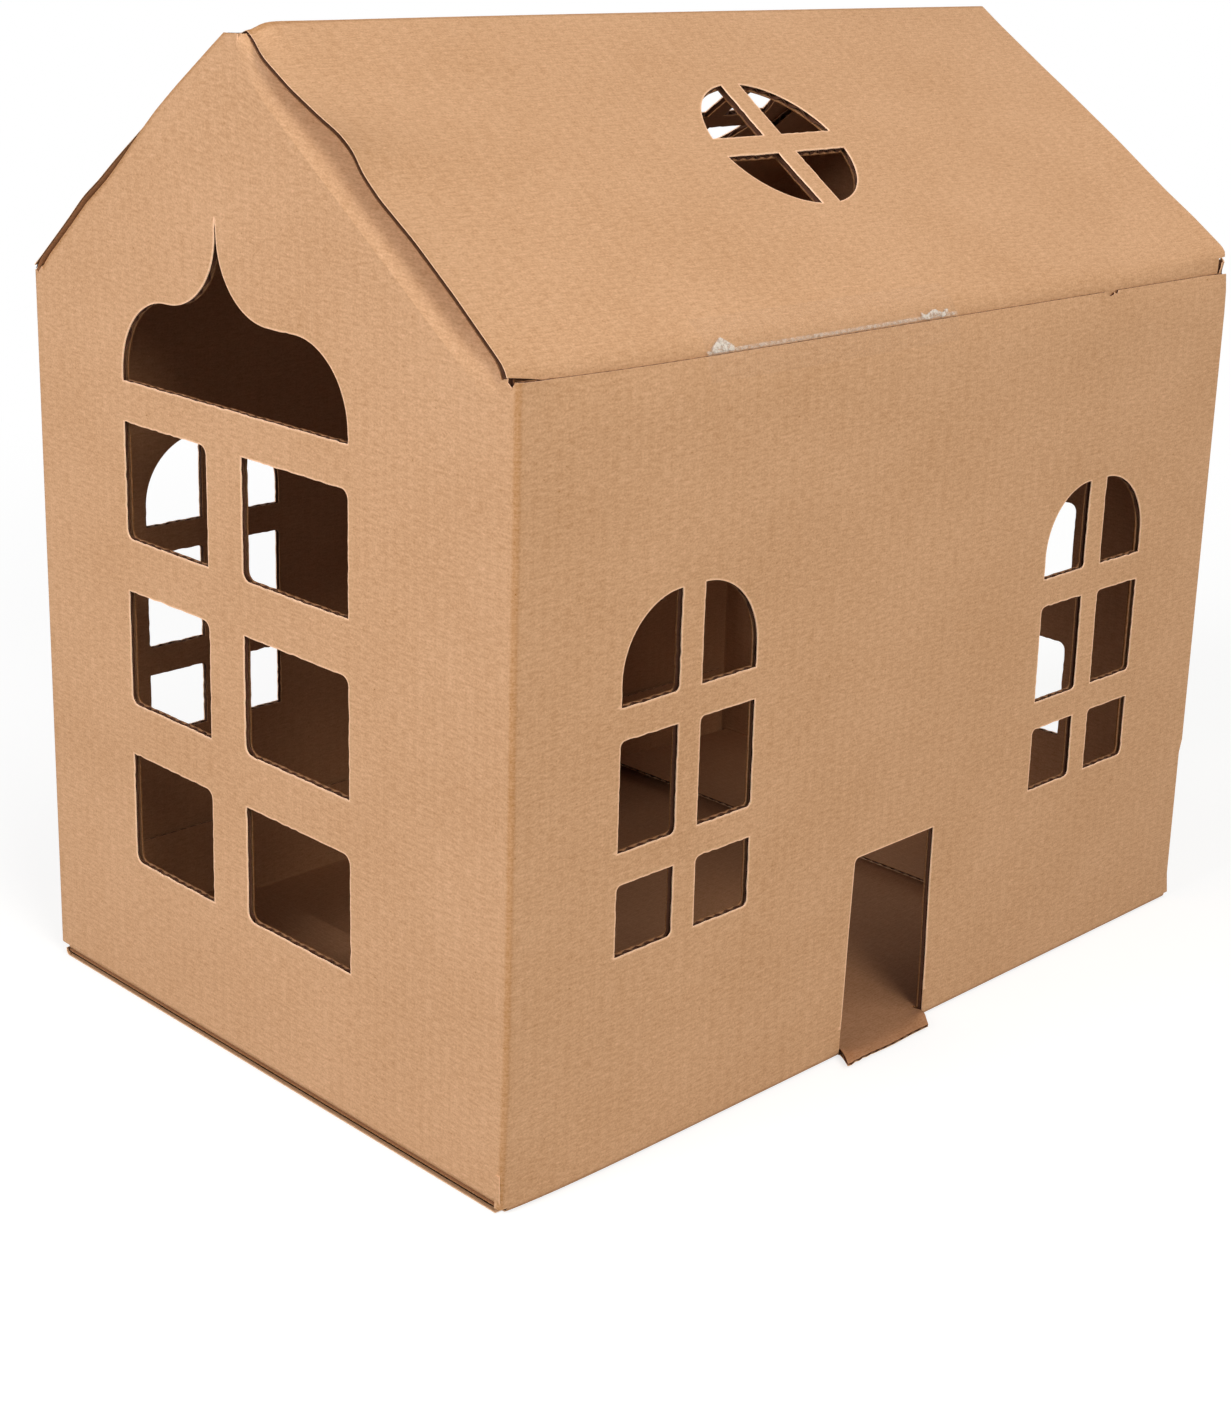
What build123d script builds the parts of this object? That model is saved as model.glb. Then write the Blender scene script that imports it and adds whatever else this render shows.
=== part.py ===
from build123d import *
import os
from math import atan2, cos, hypot, sin

# Driving sizes of the house, in millimetres
width = 190.0  # over the two long walls
depth = 278.0  # over the two gables
eave_height = 197.0  # where the outer planes of roof and long wall meet
ridge_height = 266.0
near_wall_drop = 1.4  # its raw top edge lies this far under the eave, and the roof tucks behind it

# The corrugated board and its folds
board = 2.0
ply_gap = 0.25  # between plies that rest on each other and aren't glued
crease_outer = 1.5
crease_inner = 0.4
fold_overlap = 8.0  # how far a folded strip runs on into the panel that it belongs to

# Flaps
glue_flap_width = 32.0
glue_flap_taper = 10.0
glue_flap_bottom = 6.0
raw_edge_setback = 0.6  # near wall's free edge, short of the corner that it is glued to
corner_relief = 2.4  # hinge folds of roof and floor, short of the corner folds
tuck_height = 28.0
tuck_margin = 6.0  # the tuck flaps are shorter than their panels by this at each end
slit_length = 8.0
slit_width = 0.9
floor_flap_depth = 60.5
slope_flap_depth = 40.0
slope_flap_start = 6.0
slope_flap_end = 3.6  # short of the ridge, along the slope
slope_flap_taper = 14.0
roof_overhang = 0.5
floor_setback = 0.4

# Arched windows in the long walls: two columns of three panes
arch_pane_width = 19.2
arch_bar = 7.6
arch_sill = 55.5
arch_rows = (18.2, 27.6, 25.1)  # pane heights from the sill up, the last one arched
arch_row_gap = 8.1
arch_corner = 2.0
arch_flat = 0.1  # level stretch left at the top of an arched pane
near_window_places = (-82.6, 81.2)
far_window_places = (84.5, -82.0)

# Doorway in the near wall, with the strip of floor that stands out of it
door_left = -17.4
door_right = 15.6
door_lean = 2.6  # how far the left edge runs out of square towards its foot
door_height = 56.0
door_corner = 1.5
sill_reach = 6.0
sill_side_gap = 0.8
sill_skew = 4.0  # its free edge lies this far towards the front gable

# Tall windows in the gables: two columns of three panes under an ogee panel
gable_window_width = 92.0
gable_bar = 14.6
gable_sill = 41.2
gable_pane_height = 31.0
gable_row_gap = 14.2
gable_corner = 2.5
ogee_gap = 10.7  # between the top panes and the ogee panel
ogee_side = 2.3
ogee_shoulder = 20.0
ogee_sweep = 20.0
ogee_tip = 2.6
ogee_tip_width = 0.7
front_window_shift = -8.2
front_bar_shift = -2.9  # upright bar off the window's middle
front_tip_shift = -4.4  # ogee's point off the window's middle
back_window_shift = -5.2
back_bar_shift = 0.0
back_tip_shift = 0.0

# Round windows in the roof
round_radius = 23.0
round_bar = 6.7
near_round_place = (65.0, 0.0)  # up the slope from the eave, along the ridge
far_round_place = (58.5, 68.0)

# Clear tape over the seam under the near eave
tape_thickness = 0.1
tape_gap = 0.04
tape_start = -80.0
tape_length = 92.0
tape_on_wall = 5.0
tape_on_roof = 7.0

# Values that follow from the driving sizes
half_width = width / 2
half_depth = depth / 2
near_wall_height = eave_height - near_wall_drop
slope = atan2(ridge_height - eave_height, half_width)
slope_length = hypot(ridge_height - eave_height, half_width)
tuck_face = half_width - board - ply_gap
tuck_crease = eave_height + (half_width - tuck_face) * (ridge_height - eave_height) / half_width
ply_pitch = board + ply_gap
fold_start = ply_pitch + crease_outer
drop = 1 / cos(slope)  # vertical distance for one unit square to the slope
cut_reach = 3 * board
bounds_margin = 20.0

# Planes seen from outside: x to the right, y up, z out of the panel
near_plane = Plane(origin=(half_width, 0, 0), x_dir=(0, 1, 0), z_dir=(1, 0, 0))
far_plane = Plane(origin=(-half_width, 0, 0), x_dir=(0, -1, 0), z_dir=(-1, 0, 0))
front_plane = Plane(origin=(0, -half_depth, 0), x_dir=(1, 0, 0), z_dir=(0, -1, 0))
back_plane = Plane(origin=(0, half_depth, 0), x_dir=(-1, 0, 0), z_dir=(0, 1, 0))

# Roof planes: x up the slope from the eave, y along the ridge, z out of the roof
up_near = Vector(-cos(slope), 0, sin(slope))
up_far = Vector(cos(slope), 0, sin(slope))
near_roof = Plane(origin=(half_width, 0, eave_height), x_dir=up_near, z_dir=(sin(slope), 0, cos(slope)))
far_roof = Plane(origin=(-half_width, 0, eave_height), x_dir=up_far, z_dir=(-sin(slope), 0, cos(slope)))


def parallel_path(points, distance):
    """The path shifted to its right by distance, with mitred corners."""
    shifted = []
    spans = list(zip(points[:-1], points[1:]))
    normals = []
    for (x0, y0), (x1, y1) in spans:
        length = hypot(x1 - x0, y1 - y0)
        normals.append(((y1 - y0) / length, (x0 - x1) / length))
    for index, (x, y) in enumerate(points):
        before = normals[max(index - 1, 0)]
        after = normals[min(index, len(normals) - 1)]
        share = distance / (1 + before[0] * after[0] + before[1] * after[1])
        shifted.append((x + (before[0] + after[0]) * share, y + (before[1] + after[1]) * share))
    return shifted


def folded_section(points, thickness=board):
    """Section of board folded along a path of its outer face, with its inside on the right."""
    outer = FilletPolyline(*points, radius=crease_outer)
    inner = FilletPolyline(*parallel_path(points, thickness), radius=crease_inner)
    ends = Line(outer @ 0, inner @ 0) + Line(outer @ 1, inner @ 1)
    return make_face(outer + inner + ends)


def span_box(x_range, y_range, z_range):
    """Box between two corners given as ranges."""
    sizes = [high - low for low, high in (x_range, y_range, z_range)]
    middle = [(high + low) / 2 for low, high in (x_range, y_range, z_range)]
    return Pos(*middle) * Box(*sizes)


def both_ends(solid):
    """A solid and its mirror image at the other gable."""
    return solid + mirror(solid, about=Plane.XZ)


def wall_ring():
    """Near wall, front gable, far wall, back gable and glue flap, in one strip round the house."""
    glued_corner = (half_width - board, half_depth)
    hinge = (half_width - board - fold_overlap, half_depth)
    walls = [
        (half_width, half_depth - raw_edge_setback),
        (half_width, -half_depth),
        (-half_width, -half_depth),
        (-half_width, half_depth),
        hinge,
    ]
    glue_flap = [
        (hinge[0] - fold_overlap, half_depth),
        glued_corner,
        (half_width - board, half_depth - glue_flap_width),
    ]
    ring = extrude(folded_section(walls), amount=ridge_height)
    ring += extrude(folded_section(glue_flap), amount=ridge_height)

    # Under the roof, with the gables cut back to the start of their folds
    gable_top = [
        (-half_width, 0),
        (half_width, 0),
        (half_width, eave_height - fold_start * drop),
        (0, ridge_height - fold_start * drop),
        (-half_width, eave_height - fold_start * drop),
    ]
    gables = extrude(Plane.XZ * make_face(Polyline(*gable_top, close=True)), amount=depth, both=True)
    gables -= span_box((-half_width - 1, half_width + 1), (-depth, depth), (-1, fold_start))
    near_strip = span_box((half_width - board, half_width + 1), (-depth, depth), (crease_outer, near_wall_height))
    far_strip = span_box((-half_width - 1, board - half_width), (-depth, depth), (0, eave_height - crease_outer))
    return ring & (gables + near_strip + far_strip)


def glue_flap_waste():
    """What is cut off the glue flap's corners, clear of the floor flap and of the tuck flap."""
    flap_top = tuck_crease - tuck_height - ply_gap - 1
    outline = [
        (half_depth - board, glue_flap_bottom),
        (half_depth - board, flap_top),
        (half_depth - tuck_margin, flap_top),
        (half_depth - glue_flap_width - 1, flap_top - glue_flap_taper),
        (half_depth - glue_flap_width - 1, glue_flap_bottom + glue_flap_taper),
    ]
    kept = extrude(near_plane * make_face(Polyline(*outline, close=True)), amount=-depth)
    zone = span_box(
        (half_width - 2 * board - 1, half_width - board),
        (half_depth - glue_flap_width - 1, half_depth - board),
        (-1, ridge_height),
    )
    return zone - kept


def roof_sheet():
    """Far roof panel, ridge fold, near roof panel and the tuck flap behind the near wall."""
    path = [
        (-half_width, eave_height - fold_overlap),
        (-half_width, eave_height),
        (0, ridge_height),
        (tuck_face, tuck_crease),
        (tuck_face, tuck_crease - tuck_height),
    ]
    section = Plane.XZ * folded_section(path)
    sheet = extrude(section, amount=half_depth + roof_overhang, both=True)

    # The hinge fold stops short of the corner folds
    hinge_end = span_box(
        (-half_width - 1, -half_width + board + 1),
        (half_depth - corner_relief, depth),
        (0, eave_height - crease_inner),
    )
    # The tuck flap is shorter than the roof, and a slit parts its ends from the roof
    tuck_end = span_box(
        (tuck_face - cut_reach, half_width + 1),
        (half_depth - tuck_margin, depth),
        (0, tuck_crease - crease_outer),
    )
    slit = span_box(
        (tuck_face - cut_reach / 2, half_width + 1),
        (half_depth - tuck_margin - slit_length, depth),
        (tuck_crease - crease_outer - slit_width, tuck_crease - crease_outer),
    )
    return sheet - both_ends(hinge_end) - both_ends(tuck_end) - both_ends(slit)


def floor_sheet():
    """Floor panel hinged at the near wall's foot, with its tuck flap inside the far wall."""
    path = [
        (half_width, fold_overlap),
        (half_width, 0),
        (-tuck_face, 0),
        (-tuck_face, tuck_height),
    ]
    section = Plane.XZ * folded_section(path)
    sheet = extrude(section, amount=half_depth - floor_setback, both=True)
    hinge_end = span_box((half_width - board, half_width + 1), (half_depth - corner_relief, depth), (-1, depth))
    tuck_end = span_box((-half_width, -tuck_face + cut_reach), (half_depth - tuck_margin, depth), (board, depth))
    return sheet - both_ends(hinge_end) - both_ends(tuck_end)


def floor_flap():
    """Flap folded in from the front gable's foot, lying on the floor panel."""
    path = [
        (-half_depth + floor_flap_depth, ply_pitch),
        (-half_depth, ply_pitch),
        (-half_depth, ply_pitch + fold_overlap),
    ]
    low = -tuck_face + board + ply_gap
    section = Plane(origin=(low, 0, 0), x_dir=(0, 1, 0), z_dir=(1, 0, 0)) * folded_section(path)
    return extrude(section, amount=tuck_face - low)


def slope_flap():
    """Flap folded in from the front gable's near slope, lying under the near roof panel."""
    path = [
        (half_depth - slope_flap_depth, -ply_pitch),
        (half_depth, -ply_pitch),
        (half_depth, -ply_pitch - fold_overlap),
    ]
    section_plane = Plane(origin=near_roof.origin, x_dir=(0, -1, 0), z_dir=up_near)
    strip = extrude(section_plane * folded_section(path), amount=slope_length)
    top = slope_length - slope_flap_end
    outline = [
        (slope_flap_start, half_depth + 1),
        (slope_flap_start, half_depth - board),
        (slope_flap_start + slope_flap_taper / 2, half_depth - slope_flap_depth - 1),
        (top - slope_flap_taper, half_depth - slope_flap_depth - 1),
        (top, half_depth - board),
        (top, half_depth + 1),
    ]
    trim = extrude(near_roof * make_face(Polyline(*outline, close=True)), amount=bounds_margin, both=True)
    return strip & trim


def pane(left, bottom, pane_width, pane_height, round_left_top, radius):
    """Rectangular pane with two opposite corners rounded."""
    shape = Pos(left + pane_width / 2, bottom + pane_height / 2) * Rectangle(pane_width, pane_height)
    corners = shape.vertices()
    chosen = []
    for corner in corners:
        is_left = corner.X < left + pane_width / 2
        is_top = corner.Y > bottom + pane_height / 2
        if (is_left == is_top) == round_left_top:
            chosen.append(corner)
    return fillet(chosen, radius)


def arched_window(centre):
    """Two columns of panes, the top pair with quarter-round heads, for a long wall."""
    shapes = Sketch()
    for side in (-1, 1):
        left = centre - arch_bar / 2 - arch_pane_width if side < 0 else centre + arch_bar / 2
        bottom = arch_sill
        for height in arch_rows[:-1]:
            shapes += pane(left, bottom, arch_pane_width, height, True, arch_corner)
            bottom += height + arch_row_gap
        head = Pos(left + arch_pane_width / 2, bottom + arch_rows[-1] / 2) * Rectangle(
            arch_pane_width, arch_rows[-1]
        )
        jamb = head.vertices().group_by(Axis.Y)[-1].sort_by(Axis.X)[0 if side < 0 else -1]
        head = fillet(jamb, arch_pane_width - arch_flat)
        if side < 0:
            head = fillet(head.vertices().group_by(Axis.Y)[0].sort_by(Axis.X)[-1], arch_corner)
        shapes += head
    return shapes


def ogee_half(reach, bottom):
    """Half of the ogee panel, from its point's axis to its side at the given reach."""
    spring = bottom + ogee_side
    shoulder_top = spring + ogee_shoulder
    sweep_start = ogee_tip_width / 2 + ogee_sweep
    tip = shoulder_top + ogee_sweep
    side = Polyline((0, bottom), (reach, bottom), (reach, spring))
    shoulder = RadiusArc((reach, spring), (reach - ogee_shoulder, shoulder_top), -ogee_shoulder)
    top = Line((reach - ogee_shoulder, shoulder_top), (sweep_start, shoulder_top))
    sweep = RadiusArc((sweep_start, shoulder_top), (ogee_tip_width / 2, tip), ogee_sweep)
    point = Line((ogee_tip_width / 2, tip), (0, tip + ogee_tip))
    close = Line((0, tip + ogee_tip), (0, bottom))
    return make_face(side + shoulder + top + sweep + point + close)


def ogee_panel(centre, tip_shift, bottom):
    """Panel with round shoulders that sweep up into a point."""
    half = gable_window_width / 2
    left = mirror(ogee_half(half + tip_shift, bottom), about=Plane.YZ)
    right = ogee_half(half - tip_shift, bottom)
    return Pos(centre + tip_shift, 0) * (left + right)


def gable_window(centre, bar_shift, tip_shift, round_left_top):
    """Two columns of three panes under an ogee panel."""
    shapes = Sketch()
    half = gable_window_width / 2
    columns = [
        (centre - half, centre + bar_shift - gable_bar / 2),
        (centre + bar_shift + gable_bar / 2, centre + half),
    ]
    for left, right in columns:
        for row in range(3):
            bottom = gable_sill + row * (gable_pane_height + gable_row_gap)
            shapes += pane(left, bottom, right - left, gable_pane_height, round_left_top, gable_corner)
    top = gable_sill + 3 * gable_pane_height + 2 * gable_row_gap
    return shapes + ogee_panel(centre, tip_shift, top + ogee_gap)


def round_window(place):
    """Round opening with a cross of board left in it."""
    cross = Rectangle(3 * round_radius, round_bar) + Rectangle(round_bar, 3 * round_radius)
    return Pos(*place) * (Circle(round_radius) - cross)


def through_cut(plane, sketch):
    """Prisms of the openings, through the board of one panel."""
    return extrude(plane * sketch, amount=cut_reach / 2, both=True)


def doorway():
    """Opening down through the near wall's bottom fold, with one edge cut out of square."""
    foot = -board
    foot_left = door_left - door_lean * (door_height - foot) / door_height
    outline = make_face(
        Polyline((door_left, door_height), (door_right, door_height), (door_right, foot), (foot_left, foot), close=True)
    )
    corner = outline.vertices().group_by(Axis.Y)[-1].sort_by(Axis.X)[0]
    return extrude(near_plane * fillet(corner, door_corner), amount=cut_reach / 2, both=True)


def door_sill():
    """Strip of the floor panel that stands out through the doorway, a little askew."""
    left = door_left - door_lean + sill_side_gap
    right = door_right - sill_side_gap
    root = half_width - cut_reach
    edge = half_width + sill_reach
    outline = [
        (root, left),
        (half_width, left),
        (edge, left - sill_skew),
        (edge, right - sill_skew),
        (half_width, right),
        (root, right),
    ]
    return extrude(make_face(Polyline(*outline, close=True)), amount=board)


def folded_sheet():
    """The whole house, folded from one sheet of corrugated board and glued at one corner."""
    house = wall_ring() - glue_flap_waste()
    house += roof_sheet()
    house += floor_sheet()
    flaps = floor_flap() + slope_flap() + mirror(slope_flap(), about=Plane.YZ)
    house += both_ends(flaps)

    for place in near_window_places:
        house -= through_cut(near_plane, arched_window(place))
    for place in far_window_places:
        house -= through_cut(far_plane, arched_window(place))
    front_window = gable_window(front_window_shift, front_bar_shift, front_tip_shift, False)
    back_window = gable_window(back_window_shift, back_bar_shift, back_tip_shift, True)
    house -= through_cut(front_plane, front_window)
    house -= through_cut(back_plane, back_window)
    house -= through_cut(near_roof, round_window(near_round_place))
    house -= through_cut(far_roof, round_window(far_round_place))
    house -= doorway()
    house += door_sill()
    return house


def eave_tape():
    """Clear tape from the near wall's face over the seam and on to the roof."""
    reach = Vector(near_roof.origin) + up_near * ((half_width - tuck_face) / cos(slope) + tape_on_roof)
    lift = tape_gap + tape_thickness
    wall_side = half_width + lift
    outer = [
        (reach.X + lift * sin(slope), reach.Z + lift * cos(slope)),
        (tuck_face + lift * sin(slope), tuck_crease + lift * cos(slope)),
        (wall_side, near_wall_height + lift),
        (wall_side, near_wall_height - tape_on_wall),
    ]
    inner = parallel_path(outer, tape_thickness)
    section = Plane.XZ * make_face(Polyline(*outer, *reversed(inner), close=True))
    strip = extrude(section, amount=-tape_length)
    return Pos(0, tape_start, 0) * strip


os.makedirs("parts", exist_ok=True)
pieces = {
    "folded_sheet": folded_sheet(),
    "eave_tape": eave_tape(),
}
for name, piece in pieces.items():
    piece.label = name
    export_step(piece, f"parts/{name}.step")
    print(name, "solids", len(piece.solids()), "volume", round(piece.volume, 1), "faces", len(piece.faces()))
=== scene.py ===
"""Cardboard house, folded from one sheet of corrugated board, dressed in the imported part's frame."""

import math
import bpy
import numpy as np
from mathutils import Matrix, Vector
from mathutils.geometry import delaunay_2d_cdt


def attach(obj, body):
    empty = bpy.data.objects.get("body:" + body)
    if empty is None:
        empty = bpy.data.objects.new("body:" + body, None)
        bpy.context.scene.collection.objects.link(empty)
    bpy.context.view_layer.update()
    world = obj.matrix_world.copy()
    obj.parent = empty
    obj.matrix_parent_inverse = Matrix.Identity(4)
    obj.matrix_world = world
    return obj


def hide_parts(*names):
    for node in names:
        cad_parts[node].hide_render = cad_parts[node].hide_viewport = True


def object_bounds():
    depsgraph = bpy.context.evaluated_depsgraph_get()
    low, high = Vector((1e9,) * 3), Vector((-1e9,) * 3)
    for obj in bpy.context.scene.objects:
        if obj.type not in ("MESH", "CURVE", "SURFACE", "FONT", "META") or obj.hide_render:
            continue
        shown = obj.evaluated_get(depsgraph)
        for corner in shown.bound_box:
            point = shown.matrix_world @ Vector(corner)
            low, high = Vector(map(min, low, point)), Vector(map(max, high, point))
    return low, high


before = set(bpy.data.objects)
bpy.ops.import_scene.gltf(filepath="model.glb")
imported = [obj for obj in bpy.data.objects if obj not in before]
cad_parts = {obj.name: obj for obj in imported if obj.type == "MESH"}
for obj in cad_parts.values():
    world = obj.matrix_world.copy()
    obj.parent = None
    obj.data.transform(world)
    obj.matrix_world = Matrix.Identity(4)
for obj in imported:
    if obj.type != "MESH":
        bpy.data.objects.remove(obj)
cad_low, cad_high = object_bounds()
random_source = np.random.default_rng(7)

# Sizes of the house in millimetres, as in the part's source
MM = 0.001
WIDTH = 190.0
DEPTH = 278.0
EAVE = 197.0
RIDGE = 266.0
HALF_WIDTH = WIDTH / 2
HALF_DEPTH = DEPTH / 2
SLOPE = math.atan2(RIDGE - EAVE, HALF_WIDTH)
SLOPE_LENGTH = math.hypot(RIDGE - EAVE, HALF_WIDTH)

# The board: two liners with a fluted sheet between them
BOARD = 2.0
LINER = 0.28
FLUTE_SHEET = 0.2
FLUTE_PITCH = 3.5
FLUTE_CLEARANCE = 0.05
FLUTE_SWING = (BOARD - 2 * LINER - FLUTE_SHEET) / 2 - FLUTE_CLEARANCE
FLUTE_STEPS = 8
PLY_GAP = 0.25
PLY_PITCH = BOARD + PLY_GAP
CREASE_OUTER = 1.5
CREASE_INNER = 0.4
FOLD_START = PLY_PITCH + CREASE_OUTER
OVERLAP = 8.0
SEAM_DEPTH = PLY_PITCH + OVERLAP
TUCK_FOLD = (8.0, 6.0)
NEAR_SLOPE_FOLD = (5.5, 3.5)
FAR_SLOPE_FOLD = (0.6, 0.2)

# Flaps and free edges
TUCK_FACE = HALF_WIDTH - PLY_PITCH
FLOOR_FLAP_START = PLY_PITCH - TUCK_FACE
TUCK_CREASE = EAVE + PLY_PITCH * (RIDGE - EAVE) / HALF_WIDTH
TUCK_HEIGHT = 28.0
TUCK_MARGIN = 6.0
GLUED_FACE = HALF_WIDTH - BOARD
GLUE_FLAP_WIDTH = 32.0
GLUE_FLAP_TAPER = 10.0
GLUE_FLAP_BOTTOM = 6.0
GLUE_FLAP_DROP = PLY_GAP + 1.0
RAW_SETBACK = 0.6
RAW_INSET = 1.1
RAW_INSET_TOP = 52.0
RAW_INSET_RAMP = 4.0
RAW_TOP = ((RAW_INSET, 0.0), (0.3, 5.0), (0.0, 12.0))
NICK_PLACE = 81.5
NICK = ((-2.8, 0.0), (-2.2, 1.0), (-0.9, 0.5), (-0.4, 1.1), (1.2, 1.3), (2.4, 0.7), (3.2, 0.0))
CORNER_RELIEF = 2.4
FOOT_CUT = 4.5
NEAR_WALL_DROP = 1.6
NEAR_CORNER_EDGE = 1.7
BACK_CORNER_EDGE = 0.3
FAR_CORNER_EDGE = 2.2
CORNER_NOTCH = 2.6
CORNER_NOTCH_LENGTH = 2.4
CORNER_NOTCH_RAMP = 0.4
FLOOR_FLAP_DEPTH = 60.5
SLOPE_FLAP_DEPTH = 40.0
SLOPE_FLAP_START = 4.0
SLOPE_FLAP_TOP = SLOPE_LENGTH - 3.6
SLOPE_FLAP_TAPER = 14.0
SLOPE_FLAP_NOTCH = OVERLAP - 1.0
ROOF_OVERHANG = 0.5
FRONT_LIP = 2.4
FRONT_LIP_STEP = 1.0
FRONT_LIP_CORNER = 0.8
FRONT_SLOT = 9.5
BACK_LIP = 0.7
FLOOR_SETBACK = 0.4
ROOF_END = HALF_DEPTH + ROOF_OVERHANG
FLOOR_END = HALF_DEPTH - FLOOR_SETBACK
HINGE_END = HALF_DEPTH - CORNER_RELIEF
TUCK_END = HALF_DEPTH - TUCK_MARGIN

# Openings
ARCH_PANE = 19.2
ARCH_BAR = 7.6
ARCH_SILL = 55.5
ARCH_ROWS = (18.2, 27.6, 25.1)
ARCH_ROW_GAP = 8.1
ARCH_CORNER = 1.5
ARCH_FLAT = 0.1
NEAR_WINDOWS = (-82.6, 81.2)
FAR_WINDOWS = (84.5, -82.0)
FAR_WINDOWS_UP = 3.4
DOOR_LEFT = -17.4
DOOR_RIGHT = 15.6
DOOR_LEAN = 2.6
DOOR_HEIGHT = 56.0
DOOR_CORNER = 1.5
DOOR_NOTCH = BOARD + 1.0
DOOR_SEAM_LEAN = DOOR_LEAN * (1 - OVERLAP / DOOR_HEIGHT)
SILL_REACH = 6.0
SILL_GAP = 0.8
SILL_SKEW = 4.0
GABLE_WINDOW = 92.0
GABLE_BAR = 14.6
GABLE_SILL = 41.2
GABLE_PANE = 31.0
GABLE_ROW_GAP = 14.2
GABLE_CORNER = 2.5
OGEE_GAP = 10.7
OGEE_SIDE = 2.3
OGEE_ARC = 20.0
OGEE_TIP = 3.4
OGEE_TIP_WIDTH = 0.7
FRONT_WINDOW = (-8.2, -2.9, -4.4, False)
BACK_WINDOW = (-5.2, 0.0, 0.0, True)
ROUND_RADIUS = 23.0
ROUND_BAR = 6.7
NEAR_ROUND = (65.0, 0.0)
FAR_ROUND = (58.5, 68.0)

# Mesh fineness
GRID = 6.0
EDGE_STEP = 1.6
EDGE_MARGIN = 1.0
LINE_GAP = 0.3
CORNER_GAP = 0.02
CORNER_STEPS = 6
CORNER_STEP_LENGTH = 1.2
ARC_STEPS = 24
FOLD_LINES = 7
FLUTE_LENGTH = 25.0
COLUMN_GAP = 1e-4
SHARE_GAP = 0.002
SHARP_ANGLE = math.radians(35)
TINY = 1e-6
WELD = 1e-5
ON_EDGE = 0.01

# The part's own box, drawn in by a hair against rounding
BOX_LOW = np.array(cad_low) + 1e-7
BOX_HIGH = np.array(cad_high) - 1e-7

# Bites along die-cut edges, and what the materials are told about folds and rims
CUT_ROUGHNESS = 0.07
DEEP_BITE = 2.5
DEEP_BITE_ABOVE = 0.97
BITE_LIMITS = (-1.5, 3.5)
STRAIGHT_TURN = 0.02
CREASE_SPREAD = 5.0
SOFT_FOLD = 3.0
RIM_WIDTH = 0.55
RIM_CLEARANCE = 0.8

# Tape over the seam under the near eave
TAPE_START = -80.0
TAPE_LENGTH = 92.0
TAPE_ON_WALL = 5.0
TAPE_ON_ROOF = 7.0
TAPE_BEND = 1.5
TAPE_SEAM = TAPE_ON_WALL + 2.0
TAPE_THICKNESS = 0.1
TAPE_FILM = TAPE_THICKNESS * 0.6
TAPE_GAP = 0.04
TAPE_CURL = 0.3
TAPE_RUN_STEP = 0.3
TAPE_ROW_STEP = 0.5
PEAK_PLACE = 5.5
PEAK_REACH = 4.8
PEAK_FOOT = -0.3
PEAK_HEIGHT = 3.2
PEAK_BASE = 0.6
BACK_CRINKLE_GLINT = 0.8
BACK_CRINKLE_RUN = (78, 89)
BACK_CRINKLE_PLACE = 0.6
BACK_CRINKLE_SWING = 0.5
BACK_CRINKLE_WIDTH = 0.6
SEAM_CRINKLE_GLINT = 0.3
SEAM_CRINKLE_WIDTH = 0.45


def unit(vector):
    return vector / np.linalg.norm(vector)


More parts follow.
